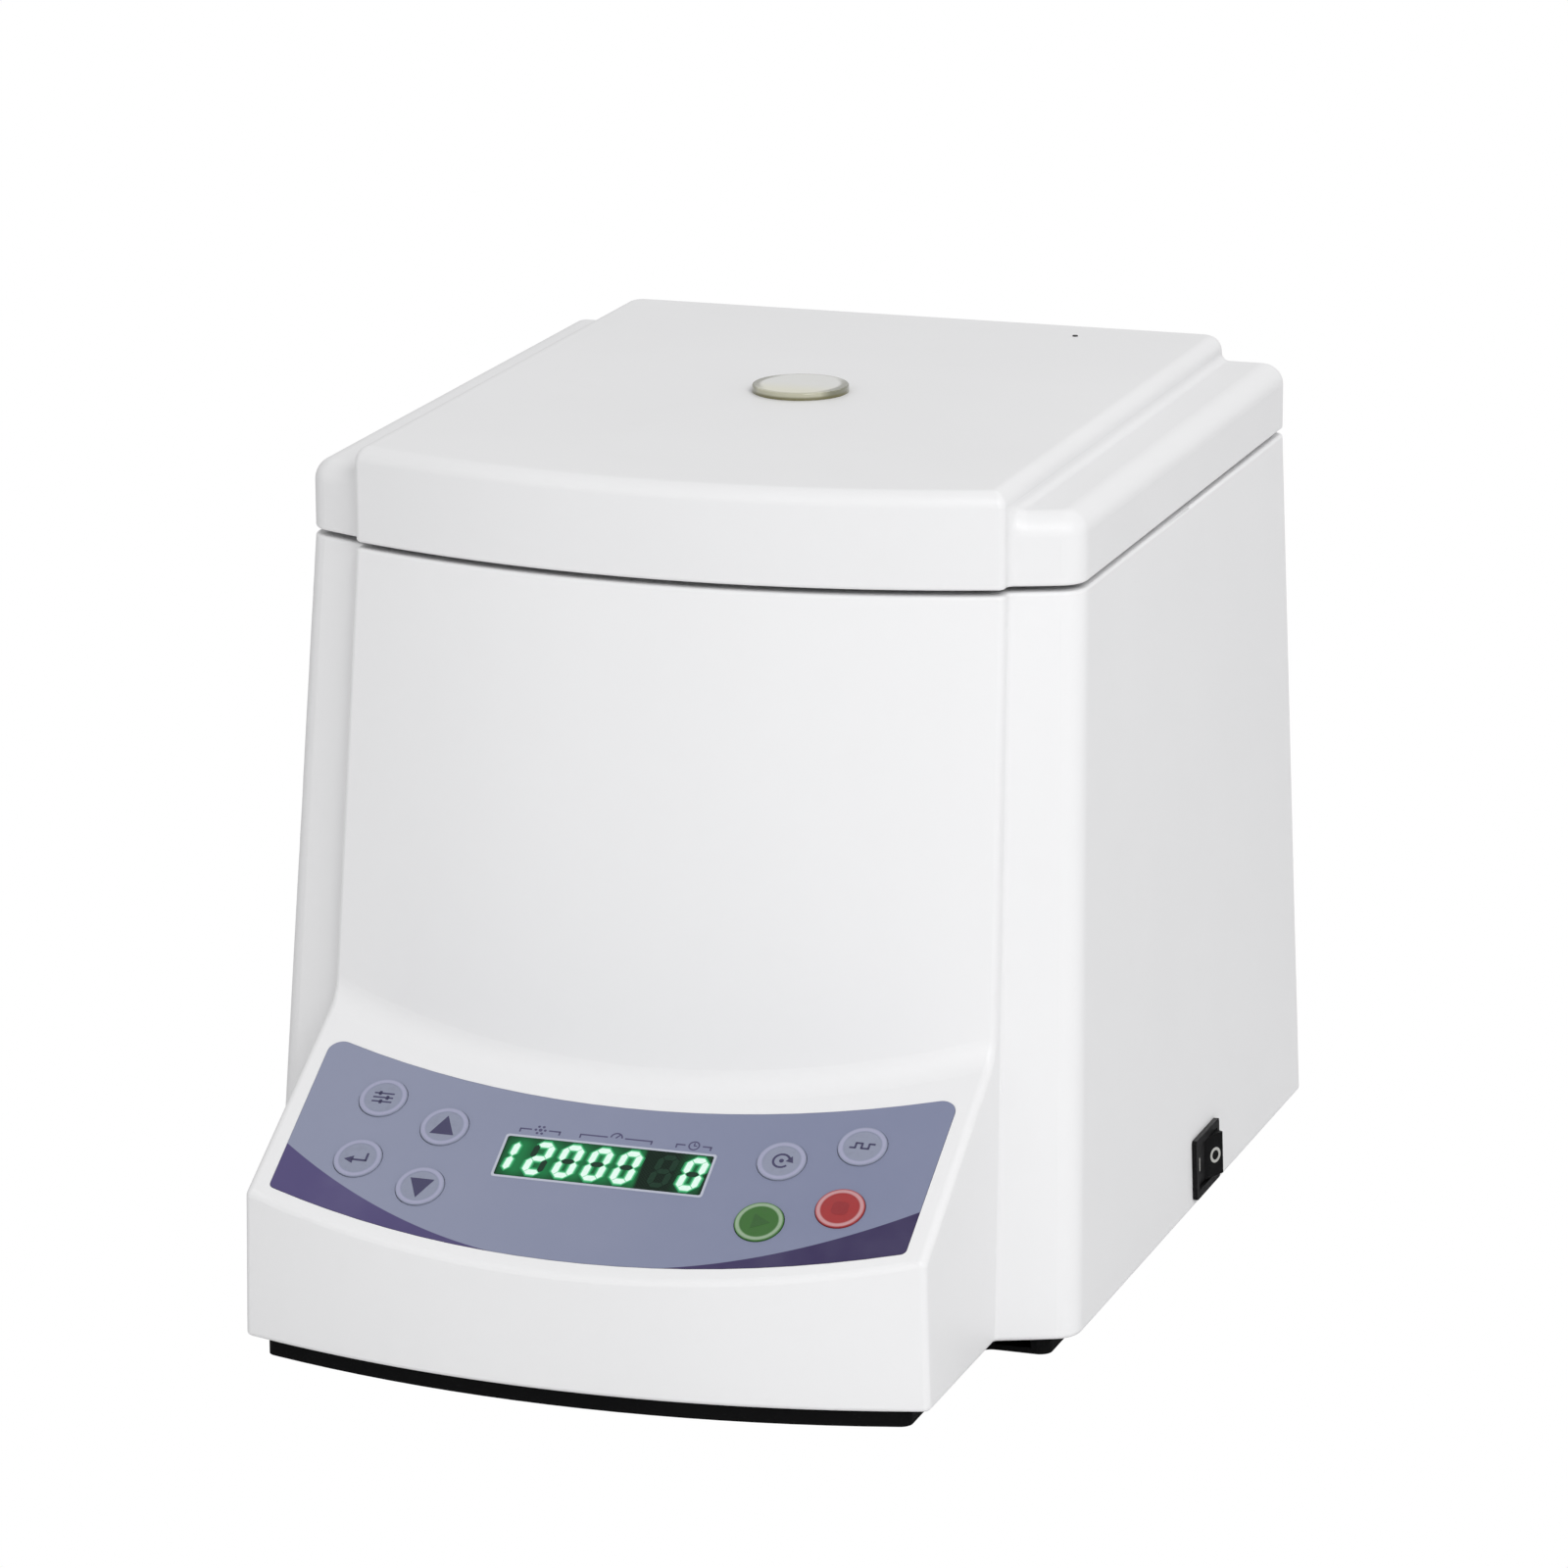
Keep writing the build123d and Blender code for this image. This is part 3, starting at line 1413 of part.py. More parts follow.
def build_all():
    parts = {
        "base_pan": base_pan(),
        "rubber_feet": [rubber_foot(x, y) for x, y in foot_places()],
        "base_screws": (foot_screws() + housing_screws() + chassis_screws() + board_screws()
                        + fan_screws() + hinge_screws(-1)),
        "main_housing": main_housing(),
        "support_posts": support_posts() + board_standoffs() + panel_posts(),
        "chamber_plate": chamber_plate(),
        "guard_ring": guard_ring(),
        "chamber_bowl": chamber_bowl(),
        "chamber_seal": chamber_seal(),
        "motor_dampers": motor_dampers(),
        "motor_plate": motor_plate(),
        "motor_body": motor_body(),
        "motor_bearings": motor_bearings(),
        "stator_core": stator_core(),
        "shaft_boot": shaft_boot(),
        "lock_body": lock_body(),
        "lock_solenoid": lock_solenoid(),
        "control_overlay": control_overlay(),
        "display_window": display_window(),
        "display_module": display_module(),
        "control_board": control_board(),
        "switch_frame": switch_frame(),
        "power_inlet": power_inlet(),
        "inlet_pins": inlet_pins(),
        "fuse_holder": fuse_holder(),
        "rear_grille": rear_grille(),
        "fan_frame": fan_frame(),
        "drive_board": [drive_board()] + capacitors(),
        "heat_sink": heat_sink(),
        "ribbon_cable": ribbon_cable(),
        "hinge_base_leaves": hinge_leaves(-1),
        "hinge_pins": hinge_pins(),
        "hinge_lid_leaves": hinge_leaves(1),
        "lid_shell": lid_shell(),
        "lid_liner": lid_liner(),
        "lid_screws": lid_screws() + hinge_screws(1),
        "window_lens": window_lens(),
        "window_nut": window_nut(),
        "lid_plug": lid_plug(),
        "lid_striker": lid_striker(),
        "drive_shaft": drive_shaft(),
        "rotor_core": rotor_core(),
        "rotor_hub": rotor_hub(),
        "rotor_disc": rotor_disc(),
        "rotor_gasket": rotor_gasket(),
        "rotor_cover": rotor_cover(),
        "cover_knob": cover_knob(),
        "fan_rotor": fan_rotor(),
        "lock_bolt": lock_bolt(),
        "switch_rocker": switch_rocker(),
        "fuse_cap": fuse_cap(),
    }
    for name, place in key_places().items():
        parts[name] = panel_key(place)
    return parts


os.makedirs("parts", exist_ok=True)
for part_name, part_shape in build_all().items():
    write(part_name, part_shape)
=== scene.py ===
import math

import bmesh
import bpy
from mathutils import Matrix, Vector


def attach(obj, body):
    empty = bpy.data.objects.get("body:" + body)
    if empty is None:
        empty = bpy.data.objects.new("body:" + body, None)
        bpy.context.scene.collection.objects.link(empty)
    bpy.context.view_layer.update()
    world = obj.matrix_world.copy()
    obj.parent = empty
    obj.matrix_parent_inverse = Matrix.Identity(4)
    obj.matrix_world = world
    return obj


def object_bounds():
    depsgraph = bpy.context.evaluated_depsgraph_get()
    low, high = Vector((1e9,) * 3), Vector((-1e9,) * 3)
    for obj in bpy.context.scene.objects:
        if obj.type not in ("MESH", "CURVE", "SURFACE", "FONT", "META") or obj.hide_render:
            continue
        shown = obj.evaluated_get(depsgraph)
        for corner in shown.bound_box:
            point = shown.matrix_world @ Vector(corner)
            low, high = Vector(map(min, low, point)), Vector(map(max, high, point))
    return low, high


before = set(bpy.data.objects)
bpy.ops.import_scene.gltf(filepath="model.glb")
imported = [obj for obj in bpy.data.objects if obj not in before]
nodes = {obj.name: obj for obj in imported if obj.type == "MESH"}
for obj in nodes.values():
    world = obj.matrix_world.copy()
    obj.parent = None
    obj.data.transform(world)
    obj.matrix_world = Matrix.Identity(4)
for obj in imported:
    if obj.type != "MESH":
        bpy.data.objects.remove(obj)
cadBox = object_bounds()
print("frame loaded,", len(nodes), "nodes")

mm = 0.001
perMetre = 1000  # millimetres

# Places that the looks share with the solids, in millimetres. On the panel they count from the middle of
# its foot: across to the right and up the slope.
panelPlace = {"y": -180.6, "z": 69.0, "slope": 30.745, "halfWidth": 115.0, "skin": 0.1, "keyTop": 0.55}
keySpots = {"set_key": (-87.5, 44.4), "up_key": (-61.4, 34.3), "enter_key": (-87.5, 16.2),
            "down_key": (-61.4, 6.7), "force_key": (61.4, 34.3), "short_run_key": (87.5, 44.4),
            "start_key": (61.4, 6.7), "stop_key": (87.5, 16.2)}
displaySpot = {"y": 24.55, "width": 75.7, "height": 18.5}
rotorAxis = (0.0, 52.5)


def paint(red, green, blue):
    # a colour as it is seen, in steps of 255, turned into the linear one that Blender works with
    steps = [value / 255 for value in (red, green, blue)]
    linear = [step / 12.92 if step <= 0.04045 else ((step + 0.055) / 1.055) ** 2.4 for step in steps]
    return (*linear, 1.0)


def tint(colour, scale, lift=0.0):
    # a darker or lighter relative of a colour
    return tuple(channel * scale + lift for channel in colour[:3]) + (1.0,)


# Shader maths
class Wire:
    # one value in a node tree: sums and products of wires add Math nodes
    def __init__(self, sheet, socket):
        self.sheet = sheet
        self.socket = socket

    def maths(self, operation, *values):
        return self.sheet.node("ShaderNodeMath", {"operation": operation}, values)

    def __add__(self, other):
        return self.maths("ADD", self, other)

    def __radd__(self, other):
        return self.maths("ADD", other, self)

    def __sub__(self, other):
        return self.maths("SUBTRACT", self, other)

    def __rsub__(self, other):
        return self.maths("SUBTRACT", other, self)

    def __mul__(self, other):
        return self.maths("MULTIPLY", self, other)

    def __rmul__(self, other):
        return self.maths("MULTIPLY", other, self)

    def __truediv__(self, other):
        return self.maths("DIVIDE", self, other)

    def __rtruediv__(self, other):
        return self.maths("DIVIDE", other, self)

    def __pow__(self, other):
        return self.maths("POWER", self, other)

    def __rpow__(self, other):
        return self.maths("POWER", other, self)

    def size(self):
        return self.maths("ABSOLUTE", self)

    def root(self):
        return self.maths("SQRT", self)

    def least(self, other):
        return self.maths("MINIMUM", self, other)

    def most(self, other):
        return self.maths("MAXIMUM", self, other)

    def wave(self, pitch, phase=None):
        # a sine that comes back every pitch millimetres
        turn = self * (2 * math.pi / pitch)
        if phase is not None:
            turn = turn + phase
        return self.maths("SINE", turn)

    def rise(self, low, high):
        # 0 below low, 1 above high, smooth in between
        return self.sheet.node("ShaderNodeMapRange", {"interpolation_type": "SMOOTHSTEP"},
                               {"Value": self, "From Min": low, "From Max": high})

    def spread(self, low, high):
        # stretches 0..1 to low..high
        return self * (high - low) + low


def distance(across, along):
    return (across ** 2 + along ** 2).root()


class NodeSheet:
    # the node tree of a material or of the world
    def __init__(self, tree):
        self.tree = tree

    def feed(self, socket, value):
        if isinstance(value, Wire):
            self.tree.links.new(value.socket, socket)
        elif value is not None:
            socket.default_value = value

    def node(self, kind, settings=None, values=(), output=0):
        # the settings come first, then what the sockets hold or are linked to
        made = self.tree.nodes.new(kind)
        for key, setting in (settings or {}).items():
            setattr(made, key, setting)
        pairs = values.items() if isinstance(values, dict) else enumerate(values)
        for key, value in pairs:
            self.feed(made.inputs[key], value)
        return Wire(self, made.outputs[output])


class Shade(NodeSheet):
    # a material with its Principled shader, and the few calls that the finishes are built with
    def __init__(self, name):
        self.material = bpy.data.materials.new(name)
        self.material.use_nodes = True
        super().__init__(self.material.node_tree)
        self.shader = self.tree.nodes["Principled BSDF"]
        self.place = self.node("ShaderNodeTexCoord", output="Object")
        parts = self.node("ShaderNodeSeparateXYZ", values=[self.place]).socket.node
        self.x, self.y, self.z = [Wire(self, socket) * perMetre for socket in parts.outputs]

    def noise(self, scale, detail=3.0, along=None):
        # scale is in bumps per metre; along stretches the pattern
        spot = self.place
        if along is not None:
            spot = self.node("ShaderNodeVectorMath", {"operation": "MULTIPLY"}, [spot, along])
        return self.node("ShaderNodeTexNoise", {"noise_dimensions": "3D"},
                         {"Vector": spot, "Scale": scale, "Detail": detail, "Roughness": 0.55})

    def mix(self, mask, first, second):
        # first where the mask is 0, second where it is 1: sockets 6 and 7 are the two colours
        return self.node("ShaderNodeMix", {"data_type": "RGBA"}, {0: mask, 6: first, 7: second}, 2)

    def bump(self, height, step, strength, under=None):
        # step is how high a full 1 stands, in millimetres
        return self.node("ShaderNodeBump", {}, {"Height": height, "Distance": step * mm,
                                                "Strength": strength, "Normal": under})

    def finish(self, **sockets):
        for name, value in sockets.items():
            self.feed(self.shader.inputs[name.replace("_", " ")], value)
        return self.material

    def panelAxes(self):
        # millimetres across the panel and up its slope
        turn = math.radians(panelPlace["slope"])
        fromFront = self.y - panelPlace["y"]
        fromFoot = self.z - panelPlace["z"]
        return self.x, fromFront * math.cos(turn) + fromFoot * math.sin(turn)


# Finishes. Noise scales are bumps per metre, bump heights and waves are in millimetres.
mouldSettings = {"housing": paint(228, 228, 229), "lid": paint(226, 226, 227), "grain": 2600,
                 "grainHeight": 0.014, "waveHeight": 0.12, "roughness": (0.4, 0.5), "mottle": 0.988,
                 "handled": paint(206, 204, 200), "handling": 0.05}


def mouldedPlastic(name, colour):
    shade = Shade(name)
    settings = mouldSettings
    grain = shade.noise(settings["grain"], 2.0)
    flow = shade.noise(9, 2.0, along=(1.0, 1.0, 0.35))
    haze = shade.noise(38, 4.0)
    tone = shade.mix(flow.rise(0.35, 0.65), colour, tint(colour, settings["mottle"]))
    # a trace of handling greys it here and there
    tone = shade.mix(haze.rise(0.6, 0.85) * settings["handling"], tone, settings["handled"])
    # moulded walls are never quite flat
    wall = shade.bump(shade.noise(14, 1.0), settings["waveHeight"], 0.5)
    normal = shade.bump(grain, settings["grainHeight"], 0.6, wall)
    return shade.finish(Base_Color=tone, Roughness=haze.spread(*settings["roughness"]),
                        Specular_IOR_Level=0.45, Normal=normal)


def powderCoat(name, colour, roughness=0.5):
    shade = Shade(name)
    peel = shade.noise(900)
    cloud = shade.noise(24)
    tone = shade.mix(cloud.rise(0.45, 0.8) * 0.5, colour, tint(colour, 1.3, 0.002))
    scuff = shade.noise(260, 5.0, along=(1, 1, 6)).rise(0.66, 0.74)
    tone = shade.mix(scuff * 0.04, tone, paint(120, 120, 118))
    return shade.finish(Base_Color=tone, Roughness=cloud.spread(roughness - 0.06, roughness + 0.08),
                        Specular_IOR_Level=0.12, Normal=shade.bump(peel, 0.05, 0.5))


def blackPlastic(name, colour, roughness=0.32, grain=1800):
    shade = Shade(name)
    fine = shade.noise(grain, 2.0)
    wipe = shade.noise(70, 4.0, along=(1, 2.5, 1))
    tone = shade.mix(wipe.rise(0.4, 0.75), colour, tint(colour, 1.0, 0.003))
    return shade.finish(Base_Color=tone, Roughness=wipe.spread(roughness - 0.08, roughness + 0.12),
                        Specular_IOR_Level=0.14, Normal=shade.bump(fine, 0.02, 0.5))


def softRubber(name, colour):
    shade = Shade(name)
    fine = shade.noise(1500, 4.0)
    bloom = shade.noise(45, 4.0).rise(0.5, 0.8)
    tone = shade.mix(bloom * 0.5, colour, tint(colour, 1.4, 0.02))
    return shade.finish(Base_Color=tone, Roughness=bloom.spread(0.7, 0.9), Specular_IOR_Level=0.3,
                        Normal=shade.bump(fine, 0.06, 0.7))


def turnedMetal(name, colour, roughness, grooves=1.0):
    # tool marks run round the rotor's axis
    shade = Shade(name)
    radius = distance(shade.x - rotorAxis[0], shade.y - rotorAxis[1])
    spot = shade.node("ShaderNodeCombineXYZ", {}, [radius * grooves, shade.z * grooves, 0.0])
    rings = shade.node("ShaderNodeTexNoise", {"noise_dimensions": "2D"},
                       {"Vector": spot, "Scale": 2.4, "Detail": 4.0, "Roughness": 0.7})
    smear = shade.noise(30)
    tone = shade.mix(rings.rise(0.35, 0.7), colour, tint(colour, 0.86))
    rough = (rings * 0.5 + smear * 0.5).spread(roughness - 0.06, roughness + 0.14)
    return shade.finish(Base_Color=tone, Metallic=1.0, Roughness=rough, Normal=shade.bump(rings, 0.02, 0.5))


def brushedMetal(name, colour, along, roughness=0.3):
    shade = Shade(name)
    lines = shade.noise(900, along=along)
    smear = shade.noise(36)
    tone = shade.mix(lines.rise(0.3, 0.7), colour, tint(colour, 0.84))
    rough = (lines * 0.6 + smear * 0.4).spread(roughness - 0.08, roughness + 0.14)
    return shade.finish(Base_Color=tone, Metallic=1.0, Roughness=rough, Normal=shade.bump(lines, 0.012, 0.5))


def castMetal(name, colour, roughness=0.45):
    shade = Shade(name)
    sand = shade.noise(700, 5.0)
    cloud = shade.noise(40)
    tone = shade.mix(cloud.rise(0.35, 0.75), colour, tint(colour, 0.75))
    rough = sand.spread(roughness - 0.08, roughness + 0.12)
    return shade.finish(Base_Color=tone, Metallic=1.0, Roughness=rough, Normal=shade.bump(sand, 0.08, 0.6))


def stackedIron(name):
    # thin laminations, lacquered edges
    shade = Shade(name)
    lamination = shade.z.wave(0.5).spread(0.5, 1.0)
    grime = shade.noise(120, 4.0)
    tone = shade.mix(lamination, paint(46, 42, 40), paint(104, 100, 96))
    tone = shade.mix(grime.rise(0.5, 0.8) * 0.4, tone, paint(70, 48, 34))
    return shade.finish(Base_Color=tone, Metallic=0.8, Roughness=grime.spread(0.4, 0.6),
                        Normal=shade.bump(lamination, 0.05, 0.6))


# The film is a little darker to the right. A dark sweep rises from its foot to both of its ends.
filmSettings = {"left": paint(134, 139, 161), "right": paint(120, 126, 152), "cloudy": paint(150, 152, 172),
                "sweepLeft": paint(76, 68, 113), "sweepRight": paint(40, 26, 74), "sweepFoot": -20.8,
                "sweepRise": 39.6, "sweepHalf": 114.5, "sweepMiddle": 1.0, "edgeBlur": 0.15}


def panelFilm(name):
    shade = Shade(name)
    settings = filmSettings
    across, up = shade.panelAxes()
    rightward = across.rise(-panelPlace["halfWidth"], panelPlace["halfWidth"])
    field = shade.mix(rightward, settings["left"], settings["right"])
    sweep = shade.mix(rightward, settings["sweepLeft"], settings["sweepRight"])
    fromMiddle = (across - settings["sweepMiddle"]) / settings["sweepHalf"]
    edge = fromMiddle ** 2 * settings["sweepRise"] + settings["sweepFoot"]
    tone = shade.mix((edge - up).rise(-settings["edgeBlur"], settings["edgeBlur"]), field, sweep)
    cloud = shade.noise(26)
    tone = shade.mix(cloud.rise(0.4, 0.8) * 0.1, tone, settings["cloudy"])
    return shade.finish(Base_Color=tone, Roughness=cloud.spread(0.34, 0.46), Specular_IOR_Level=0.4,
                        Normal=shade.bump(shade.noise(3200, 2.0), 0.012, 0.6))


def keyPrint(name, colour):
    shade = Shade(name)
    rub = shade.noise(420, 4.0)
    tone = shade.mix(rub.rise(0.45, 0.75) * 0.5, colour, tint(colour, 0.8, 0.015))
    return shade.finish(Base_Color=tone, Roughness=rub.spread(0.3, 0.45), Specular_IOR_Level=0.35,
                        Normal=shade.bump(shade.noise(3200, 2.0), 0.012, 0.6))


# The ring on each key: its two outlines, the radius where it is palest, and how far it fades from there.
# The colours are the cap's and the ring's.
ringSettings = {"outer": 8.5, "inner": 6.5, "crest": 7.5, "solid": 0.3325, "fade": 0.95,
                "thickness": 0.05}
ringColours = {"pale": (paint(134, 139, 161), paint(156, 157, 182)),
               "green": (paint(60, 108, 50), paint(146, 168, 142)),
               "red": (paint(154, 50, 52), paint(190, 146, 150))}


def ringPrint(name, spot, colours):
    shade = Shade(name)
    across, up = shade.panelAxes()
    fromCrest = (distance(across - spot[0], up - spot[1]) - ringSettings["crest"]).size()
    ring = 1 - fromCrest.rise(ringSettings["solid"], ringSettings["fade"])
    speck = shade.noise(1600)
    return shade.finish(Base_Color=shade.mix(ring * speck.spread(0.75, 1.0), *colours),
                        Roughness=speck.spread(0.34, 0.5), Normal=shade.bump(speck, 0.01, 0.4))


def inkPrint(name, colour):
    shade = Shade(name)
    speck = shade.noise(2400)
    tone = shade.mix(speck.rise(0.45, 0.7) * 0.45, colour, tint(colour, 0.9, 0.02))
    return shade.finish(Base_Color=tone, Roughness=speck.spread(0.4, 0.55), Specular_IOR_Level=0.3,
                        Normal=shade.bump(speck, 0.01, 0.4))


# The glow in the display: its ends behind the five digits and behind the last one, across the panel
# The dim and dark colours are a painted faint green glow on the unlit part of the window.
glowSettings = {"lit": paint(34, 128, 74), "dim": paint(24, 46, 34), "dark": paint(12, 26, 18),
                "from": -37.2, "to": 13.2, "lastFrom": 26.5, "lastTo": 37.6, "lastShare": 0.6,
                "digitPitch": 10.6, "digitPhase": 1.2, "dotPitch": 1.25, "glass": paint(8, 13, 11),
                "strength": 0.85}


def displayGlass(name):
    # tinted window: a green glow lies behind the lit digits
    shade = Shade(name)
    glow = glowSettings
    across, up = shade.panelAxes()
    height = (up - displaySpot["y"]) / (displaySpot["height"] / 2)
    block = across.rise(glow["from"] - 1.0, glow["from"] + 1.5)
    block = block * (1 - across.rise(glow["to"] - 1.0, glow["to"] + 1.0))
    last = across.rise(glow["lastFrom"] - 2.0, glow["lastFrom"] + 4.0)
    last = last * (1 - across.rise(glow["lastTo"] - 2.0, glow["lastTo"])) * glow["lastShare"]
    fade = 1 - height.size().rise(0.6, 1.05) * 0.55
    ripple = across.wave(glow["digitPitch"], glow["digitPhase"]).spread(0.78, 1.0)
    lit = (block.most(last) * fade * ripple).least(1.0)
    # a fine dot screen shows where the window is dark, drawn as a painted faint green glow of the unlit
    # window
    dots = across.wave(glow["dotPitch"]) * up.wave(glow["dotPitch"])
    ground = shade.mix(dots.rise(-0.6, 0.9), glow["dark"], glow["dim"])
    smear = shade.noise(60)
    return shade.finish(Base_Color=glow["glass"], Roughness=smear.spread(0.12, 0.24),
                        Specular_IOR_Level=0.12, Emission_Color=shade.mix(lit, ground, glow["lit"]),
                        Emission_Strength=glow["strength"], Normal=shade.bump(smear, 0.02, 0.3))


def litSegment(name, colour, strength):
    shade = Shade(name)
    patch = shade.noise(900, 2.0)
    light = shade.mix(patch.rise(0.3, 0.75) * 0.5, colour, tint(colour, 0.86))
    return shade.finish(Base_Color=paint(8, 14, 11), Roughness=patch.spread(0.35, 0.5),
                        Specular_IOR_Level=0.1, Emission_Color=light, Emission_Strength=strength,
                        Normal=shade.bump(patch, 0.01, 0.3))


# The view port, by distance from its axis: the bevelled rim gets a painted olive shade, deeper towards both
# ends, the side under it a painted dark olive shade all round, and the front a painted yellowish cast of
# light. Below is counted down from the cap's top.
portSettings = {"milky": paint(224, 224, 221), "hazy": paint(218, 218, 210), "frontLight": paint(226, 223, 196),
                "bevelShade": paint(106, 106, 84), "side": paint(104, 100, 62), "toFront": (-15.0, 2.0),
                "toEnds": (8.5, 15.5), "onBevel": (13.6, 15.4), "onEdge": (15.6, 16.4), "edgeShare": 0.45,
                "onSide": (15.6, 16.6), "below": (-2.1, -1.1), "cover": 0.9}


def portAcrylic(name):
    # milky on top, with painted olive shade on the rim and side and a painted yellowish light at the front
    shade = Shade(name)
    settings = portSettings
    top = cadBox[1][2] * perMetre
    along = shade.y - rotorAxis[1]
    radius = distance(shade.x, along)
    ends = shade.x.size().rise(*settings["toEnds"])
    edge = radius.rise(*settings["onEdge"]) * settings["edgeShare"]
    bevelShade = (radius.rise(*settings["onBevel"]) * ends).most(edge)
    low, high = settings["below"]
    side = radius.rise(*settings["onSide"]) * (1 - shade.z.rise(top + low, top + high))
    frontLight = 1 - along.rise(*settings["toFront"])
    cloud = shade.noise(180)
    tone = shade.mix(cloud.rise(0.4, 0.8) * 0.3, settings["milky"], settings["hazy"])
    # the painted yellowish light at the front, then the painted olive shade on the bevelled rim and the side
    for mask, colour in ((frontLight, "frontLight"), (bevelShade, "bevelShade"), (side, "side")):
        tone = shade.mix(mask * settings["cover"], tone, settings[colour])
    return shade.finish(Base_Color=tone, Roughness=cloud.spread(0.06, 0.14), Coat_Weight=0.4,
                        Coat_Roughness=0.05, Transmission_Weight=0.12, IOR=1.49,
                        Normal=shade.bump(cloud, 0.02, 0.2))


def boardMask(name):
    # solder mask with copper tracks under it
    shade = Shade(name)
    tracks = (shade.x.wave(2.54) * shade.y.wave(5.08)).rise(0.1, 0.35)
    weave = shade.noise(300, 2.0)
    tone = shade.mix(tracks, paint(18, 74, 40), paint(34, 104, 58))
    tone = shade.mix(weave.rise(0.62, 0.7) * 0.6, tone, paint(190, 190, 180))
    return shade.finish(Base_Color=tone, Roughness=weave.spread(0.28, 0.45),
                        Normal=shade.bump(tracks, 0.04, 0.7))


def ribbonVinyl(name):
    # grey cores side by side, the first one red
    shade = Shade(name)
    cores = shade.x.wave(1.27)
    first = 1 - shade.x.rise(-13.4, -12.6)
    tone = shade.mix(first, paint(178, 178, 176), paint(168, 46, 40))
    return shade.finish(Base_Color=tone, Roughness=cores.spread(0.42, 0.55),
                        Normal=shade.bump(cores, 0.3, 0.8))


finishes = {
    "housing": mouldedPlastic("housing_plastic", mouldSettings["housing"]),
    "lid": mouldedPlastic("lid_plastic", mouldSettings["lid"]),
    "base": powderCoat("base_powder_coat", paint(10, 10, 11)),
    "sheet": powderCoat("sheet_powder_coat", paint(150, 152, 154), 0.42),
    "rubber": softRubber("black_rubber", paint(18, 18, 18)),
    "gasket": softRubber("red_silicone", paint(158, 60, 44)),
    "film": panelFilm("panel_film"),
    "paleKey": keyPrint("pale_key_print", paint(136, 141, 160)),
    "greenKey": keyPrint("green_key_print", paint(56, 102, 46)),
    "redKey": keyPrint("red_key_print", paint(154, 48, 50)),
    "border": inkPrint("border_print", paint(178, 182, 196)),
    "paleInk": inkPrint("pale_ink", paint(80, 78, 108)),
    "ink": inkPrint("dark_ink", paint(66, 64, 94)),
    "greenInk": inkPrint("green_ink", paint(52, 92, 46)),
    "redInk": inkPrint("red_ink", paint(140, 44, 48)),
    "whiteInk": inkPrint("white_ink", paint(172, 172, 168)),
    "display": displayGlass("display_glass"),
    "digit": litSegment("lit_digit", paint(232, 255, 244), 1.0),
    "digitHalo": litSegment("digit_halo", paint(124, 222, 166), 0.9),
    "digitGlow": litSegment("digit_glow", paint(46, 150, 92), 0.95),
    # the unlit segments get a painted faint green glow
    "dimDigit": litSegment("dim_digit", paint(34, 60, 46), 0.85),
    "black": blackPlastic("black_plastic", paint(11, 11, 12)),
    "satinBlack": blackPlastic("satin_black_plastic", paint(24, 24, 25), 0.45, 900),
    "bowl": turnedMetal("spun_bowl", (0.62, 0.63, 0.64, 1.0), 0.24),
    "anodised": turnedMetal("anodised_rotor", (0.60, 0.61, 0.63, 1.0), 0.3, 1.6),
    "steel": brushedMetal("zinc_steel", (0.56, 0.56, 0.55, 1.0), (1, 1, 8)),
    "leaf": brushedMetal("hinge_steel", (0.58, 0.58, 0.58, 1.0), (0.08, 1, 1), 0.26),
    "cast": castMetal("cast_aluminium", (0.52, 0.53, 0.54, 1.0)),
    "iron": stackedIron("laminated_iron"),
    "brass": castMetal("inlet_brass", (0.72, 0.58, 0.32, 1.0), 0.25),
    "board": boardMask("circuit_board"),
    "ribbon": ribbonVinyl("ribbon_cable"),
    "port": portAcrylic("port_acrylic"),
}
print("finishes made:", len(finishes))

nodeFinish = {
    "housing": ["main_housing"],
    "lid": ["lid_shell", "lid_liner"],
    "base": ["base_pan"],
    "sheet": ["chamber_plate", "guard_ring", "lock_solenoid"],
    "rubber": ["rubber_feet", "chamber_seal", "motor_dampers", "shaft_boot"],
    "gasket": ["rotor_gasket"],
    "film": ["control_overlay"],
    "paleKey": ["set_key", "up_key", "enter_key", "down_key", "force_key", "short_run_key"],
    "greenKey": ["start_key"],
    "redKey": ["stop_key"],
    "display": ["display_window"],
    "black": ["switch_frame", "switch_rocker", "power_inlet", "fuse_holder", "fuse_cap", "display_module"],
    "satinBlack": ["rear_grille", "fan_frame", "fan_rotor", "lock_body", "window_nut", "lid_plug",
                   "cover_knob"],
    "bowl": ["chamber_bowl"],
    "anodised": ["rotor_disc", "rotor_cover", "rotor_hub"],
    "steel": ["base_screws", "support_posts", "motor_bearings", "lid_screws", "lid_striker", "drive_shaft",
              "lock_bolt"],
    "leaf": ["hinge_base_leaves", "hinge_lid_leaves", "hinge_pins"],
    "cast": ["motor_plate", "motor_body", "heat_sink"],
    "iron": ["stator_core", "rotor_core"],
    "brass": ["inlet_pins"],
    "board": ["control_board", "drive_board"],
    "ribbon": ["ribbon_cable"],
    "port": ["window_lens"],
}
for finish, names in nodeFinish.items():
    for name in names:
        nodes[name].data.materials.clear()
        nodes[name].data.materials.append(finishes[finish])
unpainted = set(nodes) - {name for names in nodeFinish.values() for name in names}
print("nodes painted, left over:", sorted(unpainted))


# Mesh building: flat outlines in millimetres get a thickness, and place sets each point in the frame
def solidFrom(outlines, depth, place):
    sheet = bmesh.new()
    for outline in outlines:
        low, high = [[sheet.verts.new(place(x, y, level)) for x, y in outline] for level in depth]
        sheet.faces.new(low[::-1])
        sheet.faces.new(high)
        for index in range(len(outline)):
            following = (index + 1) % len(outline)
            sheet.faces.new([low[index], low[following], high[following], high[index]])
    return sheet


